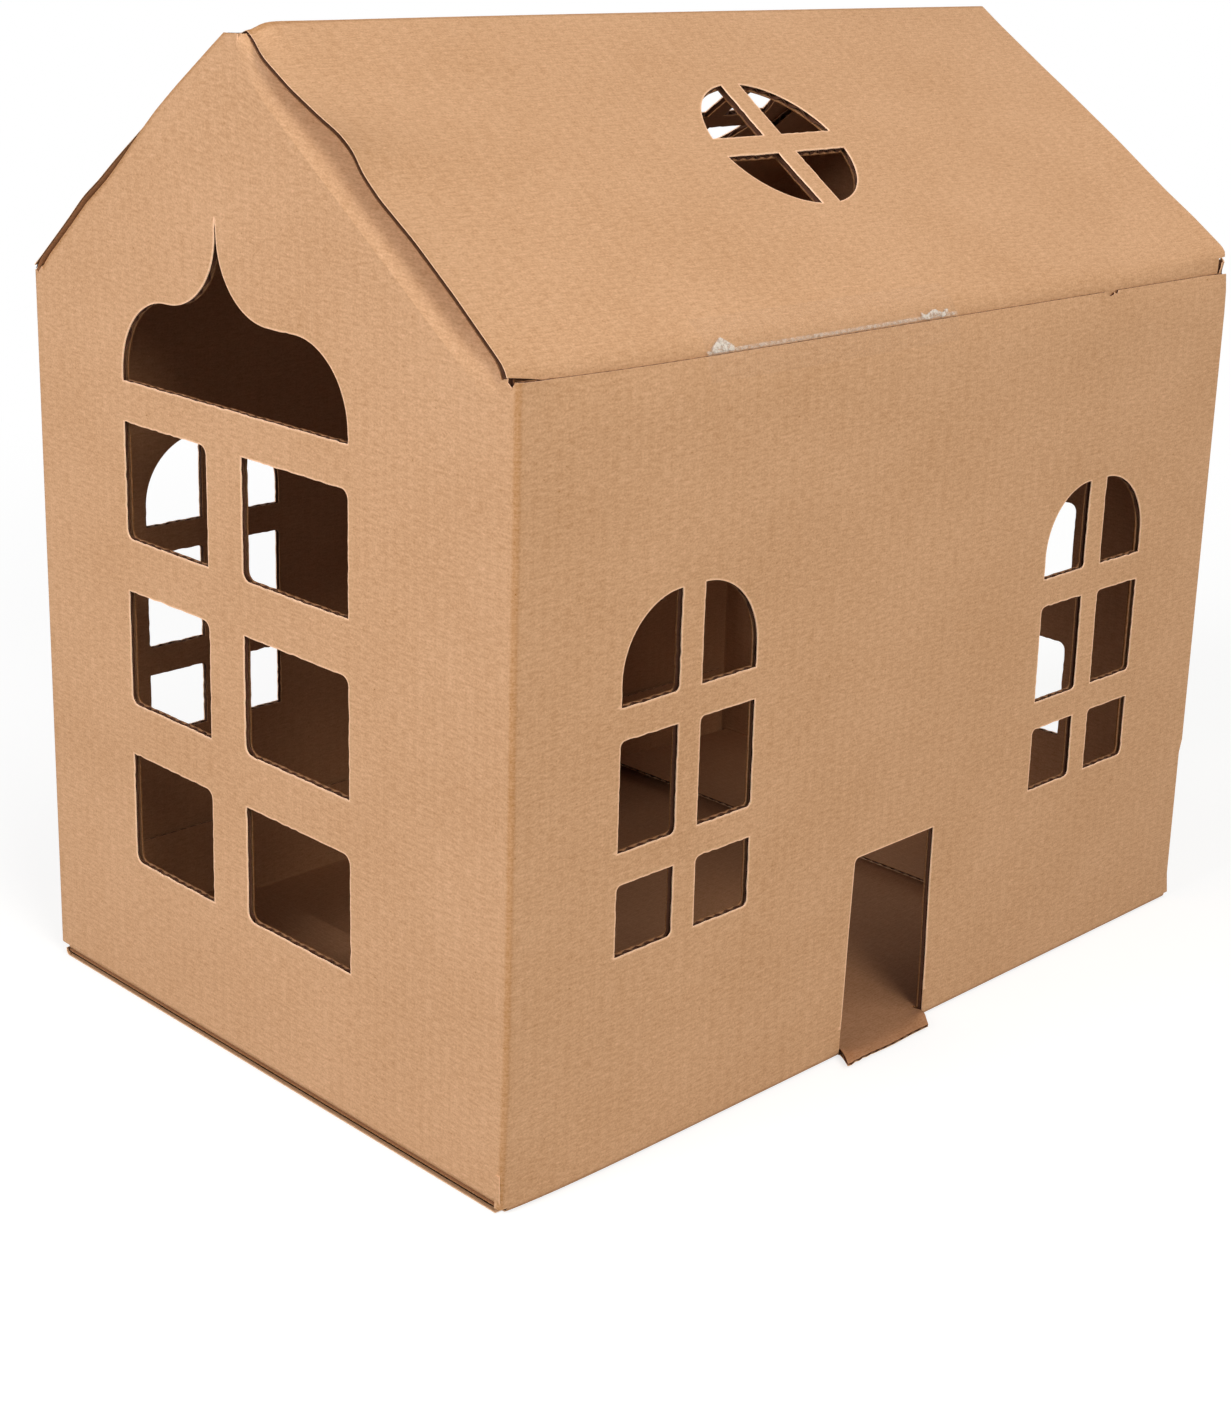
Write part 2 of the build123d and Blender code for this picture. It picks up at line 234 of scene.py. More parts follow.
class Strip:
    """Board folded along a path of its outer face: s runs along it, c straight across, d into the board."""

    def __init__(self, path, place, side=1, radii=None):
        self.path = np.array(path, float)
        spans = np.diff(self.path, axis=0)
        lengths = np.linalg.norm(spans, axis=1)
        self.starts = np.concatenate(([0.0], np.cumsum(lengths)))
        self.ahead = spans / lengths[:, None]
        self.inward = side * np.stack([self.ahead[:, 1], -self.ahead[:, 0]], axis=1)
        self.place = place
        self.radii = {index: (CREASE_OUTER, CREASE_INNER) for index in range(1, len(self.ahead))}
        self.radii.update(radii or {})
        self.folds = []
        for index in range(1, len(self.ahead)):
            turn = math.acos(float(np.dot(self.ahead[index - 1], self.ahead[index])))
            outer_radius, inner_radius = self.radii[index]
            reach = max(outer_radius, BOARD + inner_radius) * math.tan(turn / 2)
            self.folds.append((self.starts[index], turn, reach))

    def fold_lines(self):
        """Values of s at which the mesh has to have points for its folds to come out round."""
        lines = []
        for middle, _, reach in self.folds:
            lines.extend(middle + reach * share for share in np.linspace(-1, 1, FOLD_LINES))
        return lines

    def bend(self, index, share, depth):
        """Places in a fold, where share runs from -1 at its start to 1 at its end."""
        _, turn, reach = self.folds[index - 1]
        outer_radius, inner_radius = self.radii[index]
        corner = self.path[index]
        before, after = self.ahead[index - 1], self.ahead[index]
        in_before, in_after = self.inward[index - 1], self.inward[index]

        def normal(angle):
            first = np.sin(turn - angle)[:, None] * in_before
            second = np.sin(angle)[:, None] * in_after
            return (first + second) / math.sin(turn)

        tangent = outer_radius * math.tan(turn / 2)
        straight = reach - tangent
        arc = outer_radius * turn
        run = (share + 1) / 2 * (2 * straight + arc)
        centre = corner - before * tangent + in_before * outer_radius
        outer = centre - outer_radius * normal(np.clip((run - straight) / outer_radius, 0, turn))
        outer = outer - np.maximum(straight - run, 0)[:, None] * before
        outer = outer + np.maximum(run - straight - arc, 0)[:, None] * after
        centre = corner + in_before * (BOARD + inner_radius) - before * reach
        inner = centre - inner_radius * normal((share + 1) / 2 * turn)
        mix = (depth / BOARD)[:, None]
        return outer * (1 - mix) + inner * mix

    def point(self, s, c, d):
        """Places in the row frame, in millimetres."""
        span = np.clip(np.searchsorted(self.starts, s, side="right") - 1, 0, len(self.ahead) - 1)
        flat = self.path[span] + self.ahead[span] * (s - self.starts[span])[:, None]
        flat = flat + self.inward[span] * d[:, None]
        for index, (middle, _, reach) in enumerate(self.folds, start=1):
            near = np.abs(s - middle) < reach
            if near.any():
                flat[near] = self.bend(index, (s[near] - middle) / reach, d[near])
        return self.place(flat, c)


# Outlines: lists of points, with rounded corners where a radius is given


def rounded(corners):
    """Closed outline through corners given as (x, y) or (x, y, radius)."""
    points = []
    count = len(corners)
    for index in range(count):
        here = np.array(corners[index][:2], float)
        radius = corners[index][2] if len(corners[index]) > 2 else 0.0
        if not radius:
            points.append(here)
            continue
        to_before = unit(np.array(corners[index - 1][:2]) - here)
        to_after = unit(np.array(corners[(index + 1) % count][:2]) - here)
        half = math.acos(float(np.dot(to_before, to_after))) / 2
        start = here + to_before * radius / math.tan(half)
        centre = here + unit(to_before + to_after) * radius / math.sin(half)
        finish = here + to_after * radius / math.tan(half)
        turn = math.pi - 2 * half
        steps = max(CORNER_STEPS, int(radius * turn / CORNER_STEP_LENGTH))
        for step in range(steps + 1):
            share = step / steps
            first = math.sin((1 - share) * turn) * (start - centre)
            second = math.sin(share * turn) * (finish - centre)
            points.append(centre + (first + second) / math.sin(turn))
    return np.array(points)


def arc(centre, radius, start, end):
    """Points of an arc between two angles in degrees."""
    angles = np.radians(np.linspace(start, end, ARC_STEPS + 1))
    return [(centre[0] + radius * math.cos(a), centre[1] + radius * math.sin(a)) for a in angles]


def pane(left, right, bottom, top, round_left_top, radius):
    """Pane with two opposite corners rounded."""
    first = radius if round_left_top else 0
    second = 0 if round_left_top else radius
    return rounded([(left, bottom, second), (right, bottom, first), (right, top, second), (left, top, first)])


def arched_window(centre):
    """Two columns of panes, the top pair with quarter-round heads."""
    shapes = []
    for side in (-1, 1):
        left = centre - ARCH_BAR / 2 - ARCH_PANE if side < 0 else centre + ARCH_BAR / 2
        right = left + ARCH_PANE
        bottom = ARCH_SILL
        for height in ARCH_ROWS[:-1]:
            shapes.append(pane(left, right, bottom, bottom + height, True, ARCH_CORNER))
            bottom += height + ARCH_ROW_GAP
        top = bottom + ARCH_ROWS[-1]
        head = ARCH_PANE - ARCH_FLAT
        if side < 0:
            corners = [(left, bottom), (right, bottom, ARCH_CORNER), (right, top), (left, top, head)]
        else:
            corners = [(left, bottom), (right, bottom), (right, top, head), (left, top)]
        shapes.append(rounded(corners))
    return shapes


def ogee_half(reach, bottom):
    """Half of the ogee panel, from its axis out to its side."""
    spring = bottom + OGEE_SIDE
    shoulder_top = spring + OGEE_ARC
    sweep_start = OGEE_TIP_WIDTH / 2 + OGEE_ARC
    tip = shoulder_top + OGEE_ARC
    points = [(0, bottom), (reach, bottom)]
    points += arc((reach - OGEE_ARC, spring), OGEE_ARC, 0, 90)
    points += arc((sweep_start, tip), OGEE_ARC, 270, 180)
    return points + [(0, tip + OGEE_TIP)]


def gable_window(centre, bar_shift, tip_shift, round_left_top):
    """Two columns of three panes under an ogee panel."""
    half = GABLE_WINDOW / 2
    columns = [
        (centre - half, centre + bar_shift - GABLE_BAR / 2),
        (centre + bar_shift + GABLE_BAR / 2, centre + half),
    ]
    shapes = []
    for left, right in columns:
        for row in range(3):
            bottom = GABLE_SILL + row * (GABLE_PANE + GABLE_ROW_GAP)
            shapes.append(pane(left, right, bottom, bottom + GABLE_PANE, round_left_top, GABLE_CORNER))
    bottom = GABLE_SILL + 3 * GABLE_PANE + 2 * GABLE_ROW_GAP + OGEE_GAP
    axis = centre + tip_shift
    right = [(axis + x, y) for x, y in ogee_half(half - tip_shift, bottom)]
    left = [(axis - x, y) for x, y in ogee_half(half + tip_shift, bottom)]
    shapes.append(np.array(right + left[-2:0:-1]))
    return shapes


def round_window(place):
    """Four quarter panes round a cross."""
    half = ROUND_BAR / 2
    corner_angle = math.degrees(math.asin(half / ROUND_RADIUS))
    shapes = []
    for turn in range(4):
        points = [(half, half)] + arc((0, 0), ROUND_RADIUS, corner_angle, 90 - corner_angle)
        spin = Matrix.Rotation(turn * math.pi / 2, 2)
        turned = [spin @ Vector(point) for point in points]
        shapes.append(np.array([(place[0] + p.x, place[1] + p.y) for p in turned]))
    return shapes


def slope_point(a, w):
    """Place across and up in a gable's plane, from a up the near slope and w out of the roof."""
    x = HALF_WIDTH - a * math.cos(SLOPE) + w * math.sin(SLOPE)
    return x, EAVE + a * math.sin(SLOPE) + w * math.cos(SLOPE)


# Panels of the sheet, each a folded strip with its outline in (s, c) and its place in the flat blank


def across_house(flat, c):
    """Places of a strip that is folded across the house."""
    return np.column_stack([flat[:, 0], c, flat[:, 1]])


def hinge(start, end, foot, seam):
    """Corners where a panel's edge leaves its foot for a seam, between two places along it."""
    return [(start, foot), (start, seam), (end, seam), (end, foot)]


def corner_height(drop):
    """Height at which a gable's cut edge, a drop below the roof's face, meets the wall."""
    return EAVE - drop / math.cos(SLOPE) + BOARD * math.tan(SLOPE)


def gable_steps(drop):
    """Half of a gable's top, from its corner to its flap's seam, as (distance from the axis, height)."""
    return [
        (GLUED_FACE, corner_height(drop)),
        slope_point(SLOPE_FLAP_START, -drop),
        slope_point(SLOPE_FLAP_START, -SEAM_DEPTH),
    ]


def door_corners(axis):
    """The doorway, from its right foot to its left one."""
    return [
        (axis - DOOR_RIGHT, OVERLAP),
        (axis - DOOR_RIGHT, DOOR_HEIGHT),
        (axis - DOOR_LEFT, DOOR_HEIGHT, DOOR_CORNER),
        (axis - DOOR_LEFT + DOOR_SEAM_LEAN, OVERLAP),
    ]


def ring_panel():
    """Near wall, front gable, far wall, back gable and glue flap, with the axes of the first four."""
    strip = Strip(
        [
            (HALF_WIDTH, HALF_DEPTH - RAW_SETBACK),
            (HALF_WIDTH, -HALF_DEPTH),
            (-HALF_WIDTH, -HALF_DEPTH),
            (-HALF_WIDTH, HALF_DEPTH),
            (GLUED_FACE, HALF_DEPTH),
            (GLUED_FACE, HALF_DEPTH - GLUE_FLAP_WIDTH),
        ],
        lambda flat, c: np.column_stack([flat, c]),
    )
    _, near_end, far_start, far_end, back_end, flap_end = strip.starts
    near_axis = near_end - HALF_DEPTH
    front_axis = near_end + HALF_WIDTH
    far_axis = far_start + HALF_DEPTH
    back_axis = far_end + HALF_WIDTH
    near_top = EAVE - NEAR_WALL_DROP
    far_top = EAVE - CREASE_INNER
    flap_top = TUCK_CREASE - TUCK_HEIGHT - GLUE_FLAP_DROP
    apex = RIDGE - SEAM_DEPTH / math.cos(SLOPE)
    far_steps = gable_steps(FAR_CORNER_EDGE)
    near_steps = [
        (GLUED_FACE, corner_height(CORNER_NOTCH)),
        slope_point(CORNER_NOTCH_LENGTH, -CORNER_NOTCH),
        slope_point(CORNER_NOTCH_LENGTH + CORNER_NOTCH_RAMP, -NEAR_CORNER_EDGE),
        *gable_steps(NEAR_CORNER_EDGE)[1:],
    ]
    near_hinge = hinge(near_axis - HINGE_END, near_axis + HINGE_END, CREASE_OUTER, OVERLAP)
    outline = [
        (0, CREASE_OUTER),
        *near_hinge[:2],
        *door_corners(near_axis),
        *near_hinge[2:],
        (near_end + BOARD, CREASE_OUTER),
        (near_end + BOARD, FOLD_START),
        *hinge(front_axis - TUCK_FACE, front_axis - FLOOR_FLAP_START, FOLD_START, SEAM_DEPTH),
        (far_start + BOARD, FOLD_START),
        (far_start + FOOT_CUT, 0),
        (far_end + BOARD, 0),
        (far_end + BOARD, FOLD_START),
        *hinge(back_axis + FLOOR_FLAP_START, back_axis + TUCK_FACE, FOLD_START, SEAM_DEPTH),
        (back_end + BOARD, FOLD_START),
        (back_end + BOARD, GLUE_FLAP_BOTTOM),
        (flap_end, GLUE_FLAP_BOTTOM + GLUE_FLAP_TAPER),
        (flap_end, flap_top - GLUE_FLAP_TAPER),
        (back_end + TUCK_MARGIN, flap_top),
        (back_end + BOARD, flap_top),
        (back_end + BOARD, corner_height(BACK_CORNER_EDGE)),
        *((back_axis + x, z) for x, z in gable_steps(BACK_CORNER_EDGE)),
        (back_axis, apex),
        *((back_axis - x, z) for x, z in reversed(far_steps)),
        (far_end + BOARD, far_top),
        *hinge(far_axis + HINGE_END, far_axis - HINGE_END, far_top, EAVE - OVERLAP),
        (far_start - BOARD, far_top),
        *((front_axis + x, z) for x, z in far_steps),
        (front_axis, apex),
        *((front_axis - x, z) for x, z in reversed(near_steps)),
        (near_end + BOARD, near_top),
        *((near_axis - NICK_PLACE + across, near_top - down) for across, down in reversed(NICK)),
        *((inset, near_top - down) for inset, down in RAW_TOP),
        (0, RAW_INSET_TOP),
        (RAW_INSET, RAW_INSET_TOP - RAW_INSET_RAMP),
        (RAW_INSET, OVERLAP),
    ]
    windows = [(near_axis, 0, arched_window(place)) for place in NEAR_WINDOWS]
    windows += [(far_axis, FAR_WINDOWS_UP, arched_window(place)) for place in FAR_WINDOWS]
    windows += [(front_axis, 0, gable_window(*FRONT_WINDOW)), (back_axis, 0, gable_window(*BACK_WINDOW))]
    holes = [shape * (-1, 1) + (axis, up) for axis, up, shapes in windows for shape in shapes]
    panel = Panel(strip, outline, (0, 0), (1, 0), (0, 1), holes)
    panel.rim_loops.append(subdivided(rounded(door_corners(near_axis)), strip.fold_lines()))
    return panel, {"near": near_axis, "front": front_axis, "far": far_axis, "back": back_axis}


def roof_panel(axes):
    """Far slope, ridge, near slope and the tuck flap behind the near wall."""
    strip = Strip(
        [
            (-HALF_WIDTH, EAVE - OVERLAP),
            (-HALF_WIDTH, EAVE),
            (0, RIDGE),
            (TUCK_FACE, TUCK_CREASE),
            (TUCK_FACE, TUCK_CREASE - TUCK_HEIGHT),
        ],
        across_house,
        radii={3: TUCK_FOLD},
    )
    _, eave, ridge, tuck, end = strip.starts
    outline = [
        (0, HINGE_END),
        (eave + CREASE_OUTER, HINGE_END),
        (eave + CREASE_OUTER, ROOF_END),
        (tuck + BACK_LIP, ROOF_END),
        (tuck + BACK_LIP, HINGE_END),
        (tuck + BOARD, HINGE_END),
        (end, TUCK_END),
        (end, -TUCK_END),
        (tuck + FRONT_LIP + FRONT_LIP_STEP, -TUCK_END),
        (tuck + FRONT_LIP, -TUCK_END),
        (tuck + FRONT_LIP, -ROOF_END + FRONT_SLOT),
        (tuck + FRONT_LIP_CORNER, -ROOF_END),
        (eave + BOARD, -ROOF_END),
        (eave + BOARD, -HINGE_END),
        (0, -HINGE_END),
    ]
    holes = round_window((ridge + SLOPE_LENGTH - NEAR_ROUND[0], NEAR_ROUND[1]))
    holes += round_window((eave + FAR_ROUND[0], FAR_ROUND[1]))
    return Panel(strip, outline, (axes["far"], EAVE - OVERLAP), (0, 1), (1, 0), holes)


def floor_panel(axes):
    """Floor from its seam under the doorway to its tuck flap inside the far wall."""
    path = [(HALF_WIDTH, OVERLAP), (HALF_WIDTH, 0), (-TUCK_FACE, 0), (-TUCK_FACE, TUCK_HEIGHT)]
    strip = Strip(path, across_house)
    _, foot, tuck, end = strip.starts
    half = [
        (0, HINGE_END),
        (foot + BOARD, HINGE_END),
        (foot + BOARD, FLOOR_END),
        (tuck + BOARD, FLOOR_END),
        (tuck + BOARD, TUCK_END),
        (end, TUCK_END),
    ]
    outline = [
        *((s, -c) for s, c in half),
        *reversed(half),
        (0, DOOR_RIGHT),
        (foot + DOOR_NOTCH, DOOR_RIGHT),
        (foot + DOOR_NOTCH, DOOR_LEFT - DOOR_LEAN),
        (0, DOOR_LEFT - DOOR_SEAM_LEAN),
    ]
    return Panel(strip, outline, (axes["near"], OVERLAP), (0, -1), (-1, 0))


def sill_panel(axes):
    """Strip of the floor that stands out of the doorway, flat on the table and a little askew."""
    strip = Strip([(HALF_WIDTH + SILL_REACH, 0), (HALF_WIDTH - DOOR_NOTCH, 0)], across_house)
    left = DOOR_LEFT - DOOR_LEAN + SILL_GAP
    right = DOOR_RIGHT - SILL_GAP
    end = strip.starts[-1]
    outline = [
        (0, left - SILL_SKEW),
        (SILL_REACH, left),
        (end, left),
        (end, right),
        (SILL_REACH, right),
        (0, right - SILL_SKEW),
    ]
    return Panel(strip, outline, (axes["near"], SILL_REACH), (0, -1), (-1, 0))


def floor_flap_panel(axis, end):
    """Flap folded in from a gable's foot, where end is -1 at the front and 1 at the back."""
    strip = Strip(
        [
            (end * HALF_DEPTH, SEAM_DEPTH),
            (end * HALF_DEPTH, PLY_PITCH),
            (end * (HALF_DEPTH - FLOOR_FLAP_DEPTH), PLY_PITCH),
        ],
        lambda flat, c: np.column_stack([c, flat]),
        side=end,
    )
    length = strip.starts[-1]
    low, high = FLOOR_FLAP_START, TUCK_FACE
    outline = [(0, low), (length, low), (length, high), (0, high)]
    return Panel(strip, outline, (axis, SEAM_DEPTH), (0, -1), (end, 0))


def slope_flap_panel(axis, end, side):
    """Flap folded in from a gable's slope, where side is 1 on the near one and -1 on the far one."""

    def place(flat, c):
        x, z = slope_point(c, flat[:, 1])
        return np.column_stack([side * x, flat[:, 0], z])

    def ridge_end(s):
        """Where the ridge cuts the flap off."""
        return (HALF_WIDTH + (s - SEAM_DEPTH) * math.sin(SLOPE)) / math.cos(SLOPE)

    strip = Strip(
        [
            (end * HALF_DEPTH, -SEAM_DEPTH),
            (end * HALF_DEPTH, -PLY_PITCH),
            (end * (HALF_DEPTH - SLOPE_FLAP_DEPTH), -PLY_PITCH),
        ],
        place,
        side=-end,
        radii={1: NEAR_SLOPE_FOLD if side > 0 else FAR_SLOPE_FOLD},
    )
    length = strip.starts[-1]
    outline = [
        (0, SLOPE_FLAP_START),
        (OVERLAP + BOARD, SLOPE_FLAP_START),
        (length, SLOPE_FLAP_START + SLOPE_FLAP_TAPER / 2),
        (length, SLOPE_FLAP_TOP - SLOPE_FLAP_TAPER),
        (OVERLAP + BOARD, SLOPE_FLAP_TOP),
        (SLOPE_FLAP_NOTCH, SLOPE_FLAP_TOP),
        (SLOPE_FLAP_NOTCH, ridge_end(SLOPE_FLAP_NOTCH)),
        (0, ridge_end(0)),
    ]
    x, z = slope_point(0, -SEAM_DEPTH)
    along = (end * side * math.sin(SLOPE), math.cos(SLOPE))
    across = (-end * side * math.cos(SLOPE), math.sin(SLOPE))
    return Panel(strip, outline, (axis + end * side * x, z), along, across)


class Panel:
    """A strip with its outline, its holes and its place in the blank: an origin and two directions."""

    def __init__(self, strip, outline, origin, along, across, holes=()):
        self.strip = strip
        lines = strip.fold_lines()
        self.loops = [subdivided(rounded(outline), lines)]
        self.loops += [ragged(subdivided(hole, lines)) for hole in holes]
        self.rim_loops = self.loops[1:]
        self.origin = np.array(origin, float)
        self.axes = np.array([along, across], float)
        self.warp = None
        self.fine = None
        self.pinch = None

    def blank(self, flat):
        """Place in the flat blank: U round the house, V up its walls."""
        return self.origin + flat @ self.axes

    def from_blank(self, places):
        """Places in (s, c) from those in the blank."""
        return (places - self.origin) @ np.linalg.inv(self.axes)

    def point(self, flat, depth):
        """Places in the row frame, in millimetres, with the panel's own wear."""
        s, c = flat[:, 0], flat[:, 1]
        if self.pinch is not None:
            place, spread, share = self.pinch
            depth = BOARD / 2 + (depth - BOARD / 2) * (1 - share * hill(s, place, spread))
        made = self.strip.point(s, c, depth)
        return made if self.warp is None else self.warp(made, s, c, depth)


def all_panels():
    """Every panel of the sheet by name."""
    ring, axes = ring_panel()
    made = {"ring": ring, "roof": roof_panel(axes), "floor": floor_panel(axes), "sill": sill_panel(axes)}
    for end, axis in ((-1, axes["front"]), (1, axes["back"])):
        made[f"floor_flap_{end}"] = floor_flap_panel(axis, end)
        for side in (-1, 1):
            made[f"slope_flap_{end}_{side}"] = slope_flap_panel(axis, end, side)
    return made


# Meshes


def subdivided(loop, lines):
    """The loop with points at most a step apart, and wherever it crosses one of the lines of s."""
    made = []
    for start, finish in zip(loop, np.roll(loop, -1, axis=0)):
        span = finish - start
        length = np.linalg.norm(span)
        if length < TINY:
            continue
        count = math.ceil(length / EDGE_STEP)
        shares = set(np.arange(count) / count)
        if abs(span[0]) > TINY:
            crossings = [(line - start[0]) / span[0] for line in lines]
            inside = [q for q in crossings if 0 < q < 1]
            shares = {q for q in shares if q == 0 or all(abs(q - k) * length > LINE_GAP for k in inside)}
            shares |= {q for q in inside if q * length > CORNER_GAP and (1 - q) * length > CORNER_GAP}
        made.extend(start + span * share for share in sorted(shares))
    return np.array(made)


def loop_normals(loop):
    """Directions out of a loop at its points."""
    along = np.roll(loop, -1, axis=0) - np.roll(loop, 1, axis=0)
    normal = np.stack([along[:, 1], -along[:, 0]], axis=1)
    normal /= np.maximum(np.linalg.norm(normal, axis=1), 1e-9)[:, None]
    area = np.sum(loop[:, 0] * np.roll(loop[:, 1], -1) - np.roll(loop[:, 0], -1) * loop[:, 1])
    return normal * np.sign(area)


def ragged(loop):
    """The loop as a die cuts it: small bites and fibres along its edges, and its corners kept."""
    ahead = np.roll(loop, -1, axis=0) - loop
    behind = loop - np.roll(loop, 1, axis=0)
    turn = ahead[:, 0] * behind[:, 1] - ahead[:, 1] * behind[:, 0]
    straight = np.abs(turn) < STRAIGHT_TURN * np.linalg.norm(ahead, axis=1) * np.linalg.norm(behind, axis=1)
    bite = random_source.normal(0, 1, len(loop))
    bite += DEEP_BITE * (random_source.random(len(loop)) > DEEP_BITE_ABOVE)
    return loop + loop_normals(loop) * (np.clip(bite, *BITE_LIMITS) * CUT_ROUGHNESS * straight)[:, None]


def edges_of(loops):
    """Starts and ends of all edges of the loops."""
    starts = np.concatenate(loops)
    ends = np.concatenate([np.roll(loop, -1, axis=0) for loop in loops])
    return starts, ends


def is_inside(points, loops):
    """Even-odd test of points against closed loops."""
    inside = np.zeros(len(points), bool)
    for (x0, y0), (x1, y1) in zip(*edges_of(loops)):
        if y0 == y1:
            continue
        spans = (points[:, 1] >= min(y0, y1)) & (points[:, 1] < max(y0, y1))
        cross = x0 + (points[spans, 1] - y0) * (x1 - x0) / (y1 - y0)
        inside[spans] ^= points[spans, 0] < cross
    return inside


def edge_distance(points, loops):
    """Distance from each point to the nearest edge of the loops."""
    nearest = np.full(len(points), np.inf)
    for start, finish in zip(*edges_of(loops)):
        span = finish - start
        share = np.clip((points - start) @ span / max(span @ span, 1e-12), 0, 1)
        gap = np.linalg.norm(points - start - share[:, None] * span, axis=1)
        nearest = np.minimum(nearest, gap)
    return nearest


def steps_between(low, high, size):
    """Evenly spaced values from low to high, at most a size apart."""
    return np.linspace(low, high, max(2, math.ceil((high - low) / size) + 1))


def clear_steps(low, high, size, lines):
    """The values between low and high that keep clear of the fold lines."""
    return [s for s in steps_between(low, high, size) if all(abs(s - line) > size / 3 for line in lines)]


def grid_points(first, second):
    """All pairs of the two rows of values."""
    return np.column_stack([axis.ravel() for axis in np.meshgrid(first, second, indexing="ij")])


def triangulated(panel):
    """Points in (s, c) and triangles that fill the panel's outline round its holes."""
    lines = panel.strip.fold_lines()
    loops = panel.loops
    low, high = loops[0].min(axis=0), loops[0].max(axis=0)
    columns = sorted(clear_steps(low[0], high[0], GRID, lines) + lines)
    grid = grid_points(columns, steps_between(low[1], high[1], GRID))
    if panel.fine:
        low, high, step = panel.fine
        margin = step / 2
        columns = clear_steps(low[0], high[0], step, lines)
        columns += [line for line in lines if low[0] - step < line < high[0] + step]
        beside = (grid[:, 0] < min(columns) - margin) | (grid[:, 0] > max(columns) + margin)
        beside |= (grid[:, 1] < low[1] - margin) | (grid[:, 1] > high[1] + margin)
        grid = np.concatenate([grid[beside], grid_points(columns, steps_between(low[1], high[1], step))])
    grid = grid[is_inside(grid, loops)]
    grid = grid[edge_distance(grid, loops) > EDGE_MARGIN]
    for loop in panel.rim_loops:
        ring = loop + RIM_WIDTH * loop_normals(loop)
        clear = is_inside(ring, loops) & (edge_distance(ring, loops) > RIM_WIDTH * RIM_CLEARANCE)
        grid = np.concatenate([grid, ring[clear]])
    points, edges = [], []
    for loop in loops:
        first, count = len(points), len(loop)
        points.extend(loop)
        edges.extend((first + k, first + (k + 1) % count) for k in range(count))
    points.extend(grid)
    made = delaunay_2d_cdt([Vector(p) for p in points], edges, [], 0, WELD)
    places = np.array([tuple(p) for p in made[0]])
    faces = np.array([tuple(f) for f in made[2]])
    return places, faces[is_inside(places[faces].mean(axis=1), loops)]


def new_object(name, data):
    """An object of the scene."""
    made = bpy.data.objects.new(name, data)
    bpy.context.scene.collection.objects.link(made)
    return made


class MeshParts:
    """Vertices, faces and their attributes, gathered for one piece."""

    def __init__(self):
        self.points, self.blanks, self.creases, self.rims = [], [], [], []
        self.faces, self.cuts = [], []
        self.count = 0

    def add(self, points, blanks, creases, faces, cuts, rims=None):
        self.points.append(points)
        self.blanks.append(blanks)
        self.creases.append(creases)
        self.rims.append(np.zeros(len(points)) if rims is None else rims)
        self.faces.extend([tuple(int(k) + self.count for k in face) for face in faces])
        self.cuts.extend(cuts)
        self.count += len(points)

    def piece(self, name, material, slot_name, node):
        """The Blender object, in metres, standing in the place of a node of the part."""
        mesh = bpy.data.meshes.new(name)
        points = np.clip(np.concatenate(self.points) * MM, BOX_LOW, BOX_HIGH)
        mesh.from_pydata(points.tolist(), [], self.faces)
        loop_points = np.zeros(len(mesh.loops), np.int32)
        mesh.loops.foreach_get("vertex_index", loop_points)
        layer = mesh.uv_layers.new(name="blank")
        layer.data.foreach_set("uv", (np.concatenate(self.blanks) * MM)[loop_points].ravel())
        for key, domain, values in (
            ("crease", "POINT", np.concatenate(self.creases)),
            ("rim", "POINT", np.concatenate(self.rims)),
            ("cut", "FACE", np.array(self.cuts)),
        ):
            layer = mesh.attributes.new(key, "FLOAT", domain)
            layer.data.foreach_set("value", values.astype(np.float32))
        mesh.polygons.foreach_set("use_smooth", np.ones(len(mesh.polygons), bool))
        mesh.set_sharp_from_angle(angle=SHARP_ANGLE)
        mesh.materials.append(material)
        mesh.validate()
        made = new_object(name, mesh)
        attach(made, "root")
        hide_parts(node)
        return made


def crease_closeness(panel, flat):
    """1 on a fold, falling to 0 a few millimetres away."""
    close = np.zeros(len(flat))
    for index, (middle, _, _) in enumerate(panel.strip.folds, start=1):
        if panel.strip.radii[index][0] < SOFT_FOLD:
            close = np.maximum(close, 1 - np.abs(flat[:, 0] - middle) / CREASE_SPREAD)
    return close


def doubled(values):
    """Values at the points of a slab's first side, given to its second side as well."""
    return np.concatenate([values, values])


def slab_faces(faces, count):
    """Both sides and the rim of a thin slab of twice count points, and 1 for each face of the rim."""
    known = {side for face in faces for side in zip(face, face[1:] + face[:1])}
    rim = sorted((i, j) for i, j in known if (j, i) not in known)
    made = faces + [tuple(k + count for k in reversed(face)) for face in faces]
    made += [(j, i, i + count, j + count) for i, j in rim]
    return made, [0.0] * (2 * len(faces)) + [1.0] * len(rim)


def liner(panel, filled, depth_out, depth_in, parts):
    """One liner of the panel, as a thin slab between two depths."""
    flat, faces = filled
    count = len(flat)
    outer = panel.point(flat, np.full(count, depth_out))
    inner = panel.point(flat, np.full(count, depth_in))
    a, b, c = outer[faces[0]]
    outward = a - inner[faces[0][0]]
    if np.dot(np.cross(b - a, c - a), outward) < 0:
        faces = faces[:, ::-1]
    made, cuts = slab_faces([tuple(face) for face in faces.tolist()], count)
    rims = np.zeros(count)
    if panel.rim_loops:
        rims = (edge_distance(flat, panel.rim_loops) < ON_EDGE).astype(float)
    blanks = doubled(panel.blank(flat))
    creases = doubled(crease_closeness(panel, flat))
    parts.add(np.concatenate([outer, inner]), blanks, creases, made, cuts, doubled(rims))


